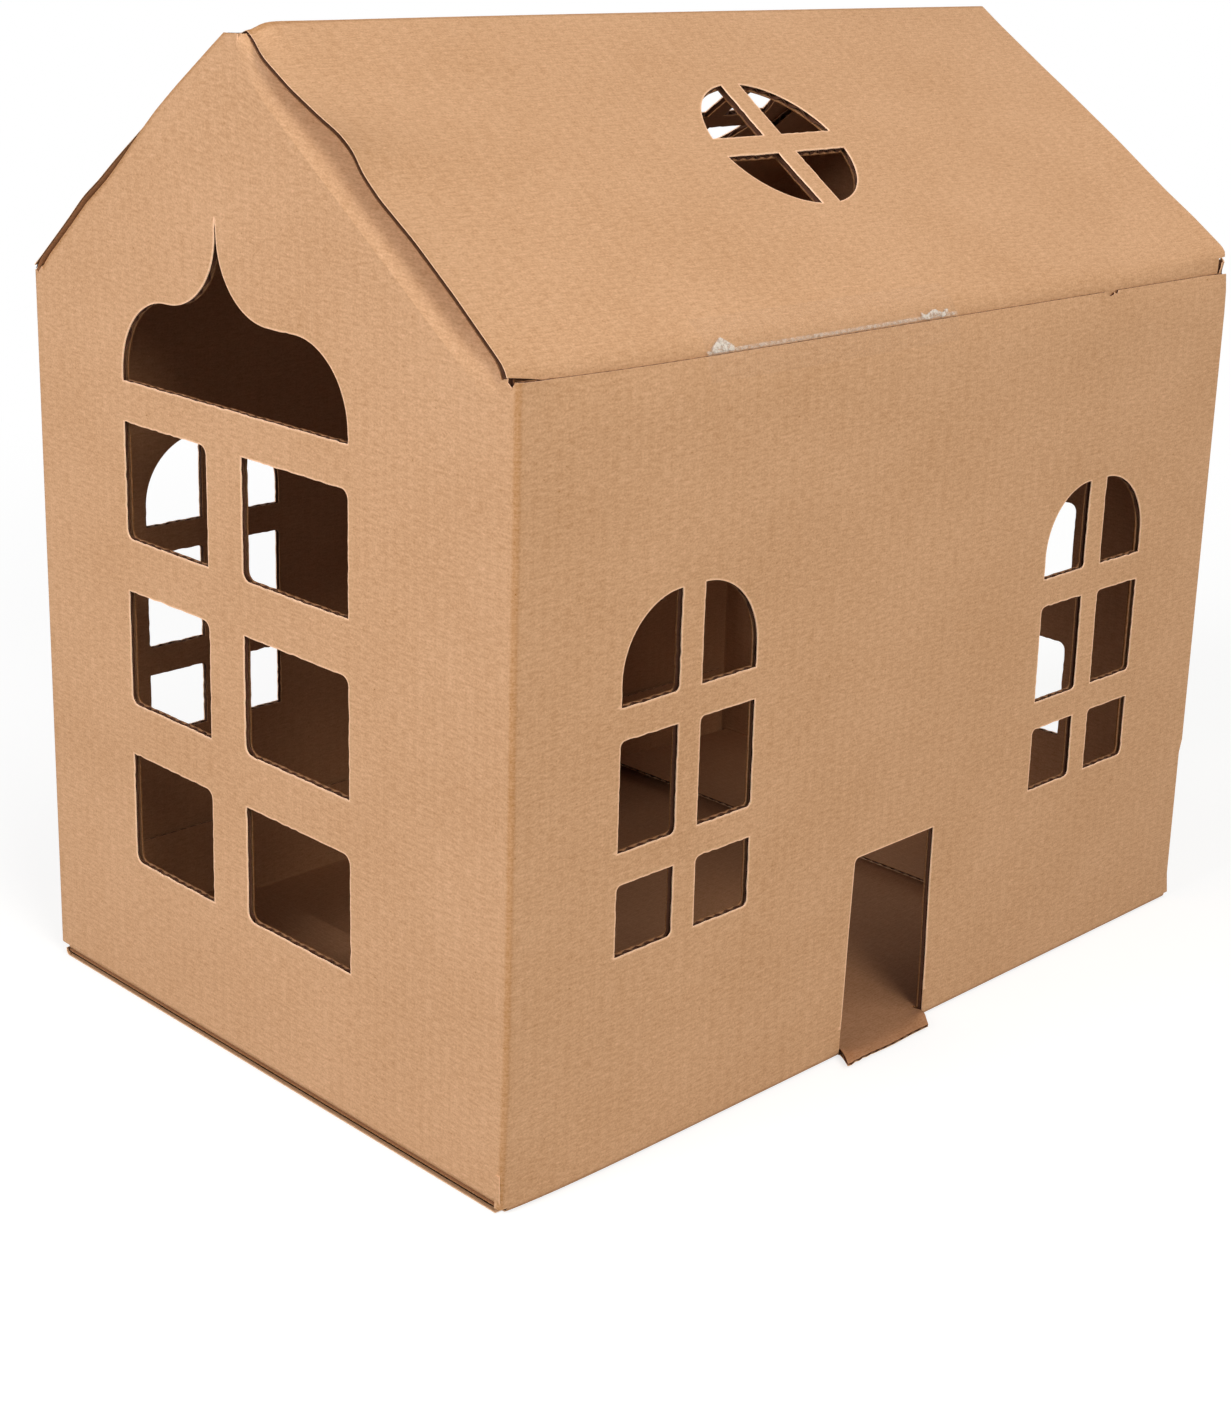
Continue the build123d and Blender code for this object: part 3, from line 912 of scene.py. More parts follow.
def flute_length(panel, u):
    """Length of the straight pieces of a flute, shorter where the panel has fine wear."""
    if panel.fine is None:
        return FLUTE_LENGTH
    low, high, step = panel.fine
    reach = sorted(panel.blank(np.array([low, high]))[:, 0])
    return 2 * step if reach[0] <= u <= reach[1] else FLUTE_LENGTH


def flute_columns(panel, loops, lines, reach):
    """Values of U between which the fluting is cut: steps of its wave, corners, folds and its reach."""
    step = FLUTE_PITCH / FLUTE_STEPS
    low, high = loops[0][:, 0].min(), loops[0][:, 0].max()
    columns = set(np.arange(math.ceil(low / step), math.floor(high / step) + 1) * step)
    columns |= {float(u) for loop in loops for u in loop[:, 0]}
    columns |= {float(u) for u in lines}
    columns |= {float(u) for u in reach if low < u < high}
    columns = np.array(sorted(columns))
    columns = columns[np.concatenate(([True], np.diff(columns) > COLUMN_GAP))]
    return columns[(columns > reach[0] - COLUMN_GAP) & (columns < reach[1] + COLUMN_GAP)]


def fold_shares(panel, u, v_low, v_high):
    """Shares of a column's length at which it crosses the panel's fold lines."""
    ends = panel.from_blank(np.array([[u, v_low], [u, v_high]]))
    span = ends[1, 0] - ends[0, 0]
    if abs(span) < 1e-9:
        return set()
    shares = {(line - ends[0, 0]) / span for line in panel.strip.fold_lines()}
    return {q for q in shares if SHARE_GAP < q < 1 - SHARE_GAP}


def fluting(panel, parts, reach):
    """The waved sheet between the liners, cut into columns along the flutes, within a reach of U."""
    loops = [panel.blank(loop) for loop in panel.loops]
    starts, ends = edges_of(loops)
    keep = np.abs(starts[:, 0] - ends[:, 0]) > 1e-7
    starts, ends = starts[keep], ends[keep]
    swap = starts[:, 0] > ends[:, 0]
    starts[swap], ends[swap] = ends[swap].copy(), starts[swap].copy()
    folds_across = panel is panels["ring"]
    columns = flute_columns(panel, loops, panel.strip.fold_lines() if folds_across else [], reach)
    flat_rows, depth_rows, faces, cuts = [], [], [], []
    total = 0
    for u0, u1 in zip(columns[:-1], columns[1:]):
        middle = (u0 + u1) / 2
        over = (starts[:, 0] <= middle) & (ends[:, 0] > middle)
        lower, upper = starts[over], ends[over]
        if not len(lower):
            continue
        gradient = (upper[:, 1] - lower[:, 1]) / (upper[:, 0] - lower[:, 0])
        at = [lower[:, 1] + (u - lower[:, 0]) * gradient for u in (u0, middle, u1)]
        order = np.argsort(at[1])
        wave = [BOARD / 2 + FLUTE_SWING * math.sin(2 * math.pi * u / FLUTE_PITCH) for u in (u0, u1)]
        for first, second in zip(order[:-1:2], order[1::2]):
            span = at[1][second] - at[1][first]
            pieces = math.ceil(span / flute_length(panel, middle))
            shares = set(np.linspace(0, 1, max(2, pieces + 1)))
            if not folds_across:
                shares |= fold_shares(panel, middle, at[1][first], at[1][second])
            shares = np.array(sorted(shares))
            count = len(shares)
            rows = []
            for side, u in ((0, u0), (2, u1)):
                v = at[side][first] + (at[side][second] - at[side][first]) * shares
                rows.append(panel.from_blank(np.column_stack([np.full(count, u), v])))
            for layer in (-1, 1):
                flat_rows += rows
                depth_rows += [np.full(count, height + layer * FLUTE_SHEET / 2) for height in wave]
            base = [total + k * count for k in range(4)]
            for j in range(count - 1):
                faces.append((base[0] + j, base[1] + j, base[1] + j + 1, base[0] + j + 1))
                faces.append((base[2] + j, base[2] + j + 1, base[3] + j + 1, base[3] + j))
            last = count - 1
            faces.append((base[0], base[2], base[3], base[1]))
            faces.append((base[0] + last, base[1] + last, base[3] + last, base[2] + last))
            cuts.extend([0.0] * (2 * (count - 1)) + [1.0, 1.0])
            total += 4 * count
    flat = np.concatenate(flat_rows)
    depth = np.concatenate(depth_rows)
    parts.add(panel.point(flat, depth), panel.blank(flat), crease_closeness(panel, flat), faces, cuts)


# Wear: how each panel departs from flat, in millimetres

# Height of the roof's edges over flat, by place up the slope from the eave
NEAR_PROFILE = ((3, 0), (23, 1.0), (39, 1.3), (53, 0.7), (61, 1.3), (66, 3.0))
NEAR_PROFILE += ((72, 2.9), (79, 1.4), (92, -0.7), (101, -1.2), (111, 0))
FAR_PROFILE = ((5, 0), (23, 1.0), (34, 1.9), (43, 1.5), (53, 1.9))
FAR_PROFILE += ((72, 2.4), (85, 2.4), (99, 2.0), (110, 1.7), (118, 0.6))
BACK_PROFILE = ((0, 2.2), (16, 2.2), (28, 1.7), (50, 1.7), (61, 1.4), (72, 1.1), (84, 0.6), (105, 0))
BACK_FAR_SHARE = 0.4
BACK_FADE = 22.0
PROFILE_STEP = 0.5
PROFILE_BLUR = 2.2
PROFILE_BLUR_REACH = 8.0
FRONT_FADE = 16.0
EDGE_CRUSH = 5.0
NEAR_CRUSH = 0.7
FAR_CRUSH = 1.5
NEAR_SAG = 0.7
FAR_SAG = 0.5

# Ends of the roof's wear, up the slope from each fold at the eave
NEAR_FRONT_BAND = (-1, 6)
FAR_FRONT_BAND = (1, 6)
FAR_BACK_BAND = (1, 12)
EAVE_OUT_BAND = (-3, 2)
EAVE_UP_BAND = (-14, -2)

# The ridge's front end
RIDGE_DIP = 1.0
RIDGE_DIP_LENGTH = 45.0
RIDGE_DIP_SPREAD = 9.0
RIDGE_DIP_WIDENING = 0.3
RIDGE_CRUSH = 2.0
RIDGE_CRUSH_LENGTH = 4.5
RIDGE_SETBACK = 2.2
RIDGE_SETBACK_FADE = 12.0
RIDGE_SETBACK_START = (40, 88)
RIDGE_SETBACK_END = (0, 12)

# The front gable's edges: bands up the slope (along) and out of the roof's face (up)
GABLE_LIFT = 1.0
GABLE_LIFT_UP = (-34, -10)
GABLE_LIFT_ALONG = (0, 9)
GABLE_LIFT_AXIS = (0, 9)
GABLE_TIP = 262.4
GABLE_TIP_LIFT = 1.4
GABLE_TIP_ALONG = (45, 78)
GABLE_TIP_FADE = 3.0
GABLE_ROLL = 5.5
GABLE_ROLL_DEPTH = 14.0
GABLE_ROLL_UP = (-11, -1.5)
GABLE_ROLL_CURVE = 1.5
GABLE_ROLL_START = (4, 26)
GABLE_ROLL_END = (98, 113)
GABLE_GAP = 1.1
GABLE_GAP_UP = (-12, -4)

# The walls
CORNER_PUSH = 2.2
CORNER_PUSH_REACH = 16.0
CORNER_PUSH_HEIGHT = 28.0
GLUE_FOLD_PUSH = 0.9
GLUE_FOLD_SPREAD = 6.0
WALL_ROLL = 1.3
WALL_ROLL_HEIGHT = 6.5
WALL_ROLL_FRONT = (3, 14)
WALL_ROLL_BACK = (1, 12)
SEAM_RISE = 1.3
SEAM_RISE_LENGTH = 20.0
SEAM_RISE_HEIGHT = 12.0
SEAM_FALL = 0.5
WALL_WAVE = 0.35
NEAR_WAVE = (21, 1.0, 27, 0.0)
NEAR_WAVE_FOOT = (12, 40)
NEAR_WAVE_TOP = (130, 160)
NEAR_WAVE_ENDS = (80, 104)
FRONT_WAVE = (19, 0.0, 33, 0.6)
FRONT_WAVE_FOOT = (14, 40)
FRONT_WAVE_TOP = (-40, -SEAM_DEPTH)
FRONT_WAVE_SIDES = (60, 92)

# Floor flaps, and the sill's marks: height, then place and spread along the wall and out of it
FLAP_SPRING = 2.2
FLAP_SPRING_START = (0, 20)
SILL_CURL = (1.1, DOOR_RIGHT - 3, 3.5, HALF_WIDTH + 2.5, 2.4)
SILL_CRUMPLE = (0.8, DOOR_LEFT - 2, 5.0, HALF_WIDTH + 3.5, 3.0)
SILL_RIPPLE = (1.3, 2.1)
SILL_WAVE = 0.25
SILL_WAVE_LENGTH = 3.1
SILL_RISE = (HALF_WIDTH - 0.5, HALF_WIDTH + SILL_REACH)


def hill(values, centre, spread):
    """Smooth hill of height 1."""
    return np.exp(-(((values - centre) / spread) ** 2))


def rise(values, low, high):
    """0 below low, 1 above high, smooth between."""
    share = np.clip((values - low) / (high - low), 0, 1)
    return share * share * (3 - 2 * share)


def fall(values, low, high):
    """1 below low, 0 above high, smooth between."""
    return rise(-values, -high, -low)


def ripple(phase):
    """A wave between 0 and 1."""
    return 0.5 + 0.5 * np.sin(phase)


def wall_wave(across, up, lengths):
    """Unevenness of a wall between 0 and 1, given the length and the start of its waves both ways."""
    length_across, start_across, length_up, start_up = lengths
    return 0.5 + 0.5 * np.sin(across / length_across + start_across) * np.sin(up / length_up + start_up)


def profile(values, table):
    """Heights between the places of a table, with its corners smoothed."""
    places = np.arange(-10, 130, PROFILE_STEP)
    heights = np.interp(places, *zip(*table))
    window = np.arange(-PROFILE_BLUR_REACH, PROFILE_BLUR_REACH + PROFILE_STEP, PROFILE_STEP)
    weights = hill(window, 0, PROFILE_BLUR)
    return np.interp(values, places, np.convolve(heights, weights / weights.sum(), "same"))


def slope_place(points, side):
    """Place up a slope and out of the roof's face, where side is 1 on the near one and -1 on the far one."""
    inward, up = HALF_WIDTH - side * points[:, 0], points[:, 2] - EAVE
    along = up * math.sin(SLOPE) + inward * math.cos(SLOPE)
    return along, up * math.cos(SLOPE) - inward * math.sin(SLOPE)


def move_out(points, amount, side):
    """Move points out of the roof's face on the side's slope."""
    points[:, 0] += side * amount * math.sin(SLOPE)
    points[:, 2] += amount * math.cos(SLOPE)


def push_corner(points, *_):
    """The foot of the near front corner, pressed in a little."""
    reach = np.maximum(HALF_WIDTH - points[:, 0], 0) + np.maximum(points[:, 1] + HALF_DEPTH, 0)
    push = np.exp(-reach / CORNER_PUSH_REACH) * np.exp(-points[:, 2] / CORNER_PUSH_HEIGHT)
    points[:, 0] -= CORNER_PUSH * push
    return points


def shape_gable(points, *_):
    """The front gable: its far edge follows the roof, its near edge rolls inward, its tip is blunt."""
    behind = points[:, 1] + HALF_DEPTH
    at_face = fall(behind, 0, GABLE_ROLL_DEPTH)
    along, up = slope_place(points, -1)
    amount = (GABLE_LIFT + profile(along, FAR_PROFILE)) * np.exp(-behind / FRONT_FADE)
    amount += GABLE_TIP_LIFT * rise(along, *GABLE_TIP_ALONG) * np.exp(-behind / GABLE_TIP_FADE)
    amount *= rise(up, *GABLE_LIFT_UP) * rise(along, *GABLE_LIFT_ALONG) * fall(points[:, 0], *GABLE_LIFT_AXIS)
    move_out(points, amount * (behind < HALF_DEPTH), -1)
    points[:, 2] -= np.maximum(points[:, 2] - GABLE_TIP, 0) * at_face
    along, up = slope_place(points, 1)
    ends = rise(along, *GABLE_ROLL_START) * fall(along, *GABLE_ROLL_END) * (points[:, 0] > 0)
    points[:, 1] += GABLE_ROLL * rise(up, *GABLE_ROLL_UP) ** GABLE_ROLL_CURVE * at_face * ends
    gap = GABLE_GAP * rise(up, *GABLE_GAP_UP) * ends * np.exp(-np.maximum(behind, 0) / FRONT_FADE)
    move_out(points, -gap, 1)
    return points


def warp_ring(points, s, c, depth):
    """Near wall's top rolled against the roof, gently uneven walls, pressed corner."""
    top = EAVE - NEAR_WALL_DROP
    on_near = (points[:, 0] > HALF_WIDTH - BOARD - ON_EDGE) & (s < panels["ring"].strip.starts[1] + 1)
    along = points[:, 1] + HALF_DEPTH
    tilt = SEAM_RISE * np.exp(-along / SEAM_RISE_LENGTH) - SEAM_FALL * along / DEPTH
    points[:, 2] += tilt * rise(c, EAVE - SEAM_RISE_HEIGHT, top) * on_near
    roll = WALL_ROLL * rise(c, EAVE - WALL_ROLL_HEIGHT, top) * (1 - depth / BOARD)
    roll *= rise(along, *WALL_ROLL_FRONT) * rise(DEPTH - along, *WALL_ROLL_BACK)
    points[:, 0] -= roll * on_near
    push = GLUE_FOLD_PUSH * (1 - on_near) * rise(points[:, 2], top, EAVE)
    push *= hill(points[:, 1], HALF_DEPTH, GLUE_FOLD_SPREAD)
    points[:, 0] += push * hill(points[:, 0], HALF_WIDTH, GLUE_FOLD_SPREAD)
    broad = rise(c, *NEAR_WAVE_FOOT) * fall(c, *NEAR_WAVE_TOP) * fall(np.abs(points[:, 1]), *NEAR_WAVE_ENDS)
    points[:, 0] -= WALL_WAVE * wall_wave(points[:, 1], c, NEAR_WAVE) * broad * on_near
    on_front = points[:, 1] < BOARD + ON_EDGE - HALF_DEPTH
    out = np.maximum(slope_place(points, 1)[1], slope_place(points, -1)[1])
    broad = rise(c, *FRONT_WAVE_FOOT) * fall(out, *FRONT_WAVE_TOP)
    broad *= fall(np.abs(points[:, 0]), *FRONT_WAVE_SIDES)
    points[:, 1] += WALL_WAVE * wall_wave(points[:, 0], c, FRONT_WAVE) * broad * on_front
    return push_corner(shape_gable(points))


def warp_roof(points, s, c, depth):
    """Wavy front edges with a bulge, crushed board there, and a crushed front end of the ridge."""
    _, eave, ridge, tuck, _ = panels["roof"].strip.starts
    from_front = c + ROOF_END
    near = s > ridge
    place = np.where(near, tuck - s, s - eave)
    lift = np.where(near, profile(place, NEAR_PROFILE), profile(place, FAR_PROFILE))
    lift *= np.exp(-from_front / FRONT_FADE)
    lift += np.where(near, NEAR_CRUSH, FAR_CRUSH) * hill(from_front, 0, EDGE_CRUSH) * depth / BOARD
    lift *= np.where(near, rise(place, *NEAR_FRONT_BAND), rise(place, *FAR_FRONT_BAND))
    back_share = np.where(near, 1, BACK_FAR_SHARE * rise(place, *FAR_BACK_BAND))
    lift += profile(place, BACK_PROFILE) * back_share * np.exp((c - ROOF_END) / BACK_FADE)
    points[:, 0] += np.where(near, 1, -1) * lift * math.sin(SLOPE) * rise(place, *EAVE_OUT_BAND)
    points[:, 2] += lift * math.cos(SLOPE) * rise(place, *EAVE_UP_BAND)
    # Shallow sag of the broad panels between their folds
    for start, finish, sag in ((eave, ridge, FAR_SAG), (ridge, tuck, NEAR_SAG)):
        share = np.clip((s - start) / (finish - start), 0, 1)
        points[:, 2] -= sag * np.sin(math.pi * share) ** 2 * np.cos(math.pi * c / DEPTH) ** 2
    # The ridge's front end, a little low, crushed and short of the gable's face
    dip = RIDGE_DIP * np.exp(-from_front / RIDGE_DIP_LENGTH)
    dip += RIDGE_CRUSH * hill(from_front, 0, RIDGE_CRUSH_LENGTH)
    points[:, 2] -= dip * hill(s, ridge, RIDGE_DIP_SPREAD + RIDGE_DIP_WIDENING * from_front)
    short = rise(s - eave, *RIDGE_SETBACK_START) * fall(s - ridge, *RIDGE_SETBACK_END)
    points[:, 1] += RIDGE_SETBACK * short * np.exp(-from_front / RIDGE_SETBACK_FADE)
    return points


def warp_floor_flap(points, s, c, depth):
    """Flap that springs up a little towards its free edge."""
    points[:, 2] += FLAP_SPRING * (s / FLOOR_FLAP_DEPTH) ** 2 * rise(s, *FLAP_SPRING_START)
    return points
# Crumpled places: a peak at the front, a thin crinkle at the back and a line on the seam; they curl the film
# and paint its glints as milky patches


def warp_sill(points, s, c, depth):
    """Crumpled at its left end, with the far right corner curled up."""
    x, y = points[:, 0], points[:, 1]
    curl, crumpled = (
        height * hill(y, along, length) * hill(x, out, width)
        for height, along, length, out, width in (SILL_CURL, SILL_CRUMPLE)
    )
    crumpled *= ripple(x * SILL_RIPPLE[0] + y * SILL_RIPPLE[1]) * (1 - depth / BOARD / 2)
    points[:, 2] += curl + crumpled + SILL_WAVE * rise(x, *SILL_RISE) * ripple(y / SILL_WAVE_LENGTH)
    return points


# How panels are pinched where two of them meet: place in s, spread, share of the board's thickness
SILL_PINCH = (0, 1.5, 0.6)
FLAP_PINCH = (2.0, 0.6)
FLOOR_PINCH = (2.0, 0.75)

# Regions of finer mesh: depth from the edge and step
ROOF_FINE = (26, 1.6)
CORNER_FINE = (40, 60, 4.0)
SILL_FINE_STEP = 0.8

panels = all_panels()
ring, roof, floor, sill = (panels[name] for name in ("ring", "roof", "floor", "sill"))
near_fold, far_fold = ring.strip.starts[1:3]
_, roof_eave, _, roof_tuck, _ = roof.strip.starts
ring.warp = warp_ring
roof.warp = warp_roof
floor.warp = push_corner
sill.warp = warp_sill
for side in (-1, 1):
    panels[f"slope_flap_-1_{side}"].warp = shape_gable
for end in (-1, 1):
    floor_flap = panels[f"floor_flap_{end}"]
    floor_flap.warp = warp_floor_flap
    floor_flap.pinch = (floor_flap.strip.starts[-1], *FLAP_PINCH)
floor.pinch = (floor.strip.starts[-1], *FLOOR_PINCH)
sill.pinch = SILL_PINCH
roof.fine = ((roof_eave, -ROOF_END), (roof_tuck, -ROOF_END + ROOF_FINE[0]), ROOF_FINE[1])
ring.fine = ((near_fold - CORNER_FINE[0], 0), (near_fold + CORNER_FINE[0], CORNER_FINE[1]), CORNER_FINE[2])
sill.fine = ((0, DOOR_LEFT - DOOR_LEAN - SILL_SKEW), (SILL_REACH + DOOR_NOTCH, DOOR_RIGHT), SILL_FINE_STEP)


# Materials


class Nodes:
    """Short way to build a node tree."""

    def __init__(self, tree):
        self.tree = tree
        tree.nodes.clear()

    def add(self, kind, inputs=None, **settings):
        """A new node, with its inputs set to values or linked to other nodes' outputs."""
        node = self.tree.nodes.new(kind)
        for key, value in settings.items():
            setattr(node, key, value)
        for key, value in (inputs or {}).items():
            if isinstance(value, bpy.types.NodeSocket):
                self.tree.links.new(value, node.inputs[key])
            else:
                node.inputs[key].default_value = value
        return node

    def math(self, operation, *values):
        return self.add("ShaderNodeMath", dict(enumerate(values)), operation=operation).outputs[0]

    def noise(self, scale, detail=3.0, roughness=0.55):
        """Noise in the flat blank, stretched."""
        uv = self.add("ShaderNodeUVMap", uv_map="blank")
        mapping = self.add("ShaderNodeMapping", {"Vector": uv.outputs[0], "Scale": scale})
        inputs = {"Vector": mapping.outputs[0], "Scale": 1.0, "Detail": detail, "Roughness": roughness}
        return self.add("ShaderNodeTexNoise", inputs).outputs["Fac"]

    def ramp(self, source, stops):
        """Values by place, as greys."""
        node = self.add("ShaderNodeValToRGB", {0: source})
        elements = node.color_ramp.elements
        while len(elements) < len(stops):
            elements.new(0.5)
        for element, (place, value) in zip(elements, stops):
            element.position = place
            element.color = (value, value, value, 1)
        return node.outputs[0]

    def weighted(self, start, *terms):
        """start plus the sum of each term times its weight."""
        total = start
        for source, weight in terms:
            total = self.math("MULTIPLY_ADD", source, weight, total)
        return total

    def attribute(self, name):
        return self.add("ShaderNodeAttribute", attribute_name=name).outputs["Fac"]


def new_material(name):
    """A material and its empty tree."""
    material = bpy.data.materials.new(name)
    material.use_nodes = True
    return material, Nodes(material.node_tree)


def linear(red, green, blue):
    """Linear colour from one given in 8-bit sRGB."""
    values = [v / 255 for v in (red, green, blue)]
    return tuple(v / 12.92 if v <= 0.04045 else ((v + 0.055) / 1.055) ** 2.4 for v in values)


# How strongly the paper's tone acts on red, green and blue
TONE_STRENGTHS = (1.15, 1.5, 2.1)


def kraft(name, base, cut_light_and_shade, washboard_shade=0.012, crease_wear_and_shade=-0.18, rim_highlight=0.0):
    """Kraft paper: streaky fibres, pale flecks, dark specks, faint lines of the flutes as painted shade of
    their ripple, folds darkened by crushing and by painted crease shade, painted light and shade on cut
    edges, and a painted highlight round openings.
    """
    material, nodes = new_material(name)
    fibres = nodes.noise((300, 1300, 1), detail=4)
    cloud = nodes.noise((24, 34, 1), detail=3)
    grain = nodes.noise((1500, 1900, 1), detail=2, roughness=0.7)
    fleck = nodes.noise((520, 1100, 1), detail=2, roughness=0.6)
    speck = nodes.noise((900, 1100, 1), detail=2, roughness=0.6)
    uv = nodes.add("ShaderNodeUVMap", uv_map="blank")
    split = nodes.add("ShaderNodeSeparateXYZ", {0: uv.outputs[0]})
    wave = nodes.math("SINE", nodes.math("MULTIPLY", split.outputs[0], 2 * math.pi / (FLUTE_PITCH * MM)))
    pale = nodes.ramp(fleck, [(0.0, 0.0), (0.68, 0.0), (0.76, 1.0)])
    dark = nodes.ramp(speck, [(0.0, 1.0), (0.24, 1.0), (0.31, 0.0)])
    # Darker along sharp folds: partly crushed board, partly painted shade in the recessed crease
    crease = nodes.ramp(nodes.attribute("crease"), [(0.0, 0.0), (0.7, 0.0), (0.88, 1.0)])
    tone = nodes.weighted(
        1.0,
        (nodes.math("SUBTRACT", fibres, 0.5), 0.42),
        (nodes.math("SUBTRACT", cloud, 0.5), 0.16),
        (nodes.math("SUBTRACT", grain, 0.5), 0.55),
        # Faint light and dark stripes along the flutes: painted shade of the washboard ripple
        (wave, washboard_shade),
        (pale, 0.14),
        (dark, -0.26),
        (crease, crease_wear_and_shade),
        # Cut edges: a positive value paints a highlight on them, a negative one paints shade
        (nodes.attribute("cut"), cut_light_and_shade),
        # Round the openings and the door: a painted highlight along the cut edge
        (nodes.attribute("rim"), rim_highlight),
    )
    channels = [nodes.weighted(1.0 - strength, (tone, strength)) for strength in TONE_STRENGTHS]
    tint = nodes.add("ShaderNodeCombineColor", dict(enumerate(channels)))
    factors = {"Factor": 1.0, "A": (*base, 1), "B": tint.outputs[0]}
    colour = nodes.add("ShaderNodeMix", factors, data_type="RGBA", blend_type="MULTIPLY")
    height = nodes.weighted(0.0, (wave, 0.2), (fibres, 0.6), (grain, 0.5))
    bump = nodes.add("ShaderNodeBump", {"Strength": 0.22, "Distance": 0.0002, "Height": height})
    surface = {
        "Base Color": colour.outputs["Result"],
        "Roughness": 0.65,
        "Specular IOR Level": 0.16,
        "Normal": bump.outputs[0],
    }
    shader = nodes.add("ShaderNodeBsdfPrincipled", surface)
    nodes.add("ShaderNodeOutputMaterial", {0: shader.outputs[0]})
    return material


# Outer liner: painted highlight on its cut edges and round its openings
outer_paper = kraft("outer_kraft", linear(207, 161, 122), cut_light_and_shade=0.45, rim_highlight=0.55)
# Inner liner: browner than the outer one, and darkened further to paint the shade of the closed inside;
# painted shade on its cut edges
inner_paper_with_painted_shade = kraft("inner_kraft", linear(174, 126, 91), cut_light_and_shade=-0.25, crease_wear_and_shade=-0.1)
# Fluting: its own browner paper, darkened to paint the shade in the board's hollows; painted highlight on its
# cut ends
flute_paper_with_painted_shade = kraft("flute_kraft", linear(84, 52, 36), cut_light_and_shade=0.6, washboard_shade=0.0)

# The board's layers
outer_parts, inner_parts = MeshParts(), MeshParts()
for panel in panels.values():
    filled = triangulated(panel)
    liner(panel, filled, 0.0, LINER, outer_parts)
    liner(panel, filled, BOARD - LINER, BOARD, inner_parts)
outer_parts.piece("outer_liner", outer_paper, "cardboard", "folded_sheet")
inner_parts.piece("inner_liner", inner_paper_with_painted_shade, "cardboard", "folded_sheet")
everywhere = (-math.inf, math.inf)
flaps = [panel for name, panel in panels.items() if "flap" in name]
flute_groups = {
    "fluting_front_walls": ([ring], (-math.inf, far_fold)),
    "fluting_back_walls": ([ring], (far_fold, math.inf)),
    "fluting_roof": ([roof], everywhere),
    "fluting_floor": ([floor, sill], everywhere),
    "fluting_flaps": (flaps, everywhere),
}
for name, (members, reach) in flute_groups.items():
    parts = MeshParts()
    for panel in members:
        fluting(panel, parts, reach)
    parts.piece(name, flute_paper_with_painted_shade, "cardboard", "folded_sheet")


# Tape, in rows along the seam and in runs across it


def crumple_and_glint(row, run):
    """How crumpled the tape is and how much glint is painted there, from 0 to 1: a peak at its front, a thin
    one at its back, and the seam.
    """
    across = run - TAPE_SEAM
    peak = np.clip(1 - np.abs(row - PEAK_PLACE) / PEAK_REACH, 0, 1)
    front = (across > PEAK_FOOT) & (across < PEAK_HEIGHT * peak) & (peak > 0)
    middle = BACK_CRINKLE_PLACE + BACK_CRINKLE_SWING * math.sin(row)
    back = np.abs(across - middle) < BACK_CRINKLE_WIDTH
    back &= BACK_CRINKLE_RUN[0] < row < BACK_CRINKLE_RUN[1]
    line = SEAM_CRINKLE_GLINT * (np.abs(across) < SEAM_CRINKLE_WIDTH)
    return np.maximum(np.maximum(front * (PEAK_BASE + (1 - PEAK_BASE) * peak), back * BACK_CRINKLE_GLINT), line)


def tape_parts():
    """Clear tape from the wall's face over the seam and on to the roof, with small crinkles that also carry
    its painted glints.
    """
    lift = TAPE_GAP + TAPE_THICKNESS
    roof_edge = (HALF_WIDTH - TUCK_FACE) / math.cos(SLOPE)
    wall_top = EAVE - NEAR_WALL_DROP
    corners = [
        (HALF_WIDTH + lift, wall_top - TAPE_ON_WALL - 1),
        (HALF_WIDTH + lift, wall_top - TAPE_ON_WALL),
        (HALF_WIDTH - WALL_ROLL + lift, wall_top + lift),
        slope_point(roof_edge + TAPE_BEND, lift),
        slope_point(roof_edge + TAPE_ON_ROOF, lift),
    ]
    path = [Vector(corner) for corner in corners]
    section = []
    for start, finish in zip(path[:-1], path[1:]):
        steps = max(2, int((finish - start).length / TAPE_RUN_STEP))
        section += [start.lerp(finish, k / steps) for k in range(steps)]
    section = np.array([tuple(p) for p in (*section, path[-1])])
    ahead = np.gradient(section, axis=0)
    ahead /= np.linalg.norm(ahead, axis=1)[:, None]
    inward = np.stack([-ahead[:, 1], ahead[:, 0]], axis=1)
    rows = steps_between(0, TAPE_LENGTH, TAPE_ROW_STEP)
    run = np.concatenate(([0], np.cumsum(np.linalg.norm(np.diff(section, axis=0), axis=1))))
    crumples_and_glints = [crumple_and_glint(row, run) for row in rows]
    width = len(section)
    points = []
    for depth in (0.0, TAPE_FILM):
        for row, crumpled in zip(rows, crumples_and_glints):
            place = section + inward * (depth - TAPE_CURL * crumpled)[:, None]
            points.append(np.column_stack([place[:, 0], np.full(width, TAPE_START + row), place[:, 1]]))
    blanks = grid_points(rows, run)
    corners = [i * width + j for i in range(len(rows) - 1) for j in range(width - 1)]
    faces = [(a, a + width, a + width + 1, a + 1) for a in corners]
    made, _ = slab_faces(faces, len(rows) * width)
    parts = MeshParts()
    creases = doubled(np.concatenate(crumples_and_glints))
    parts.add(np.concatenate(points), doubled(blanks), creases, made, [0.0] * len(made))
    return parts


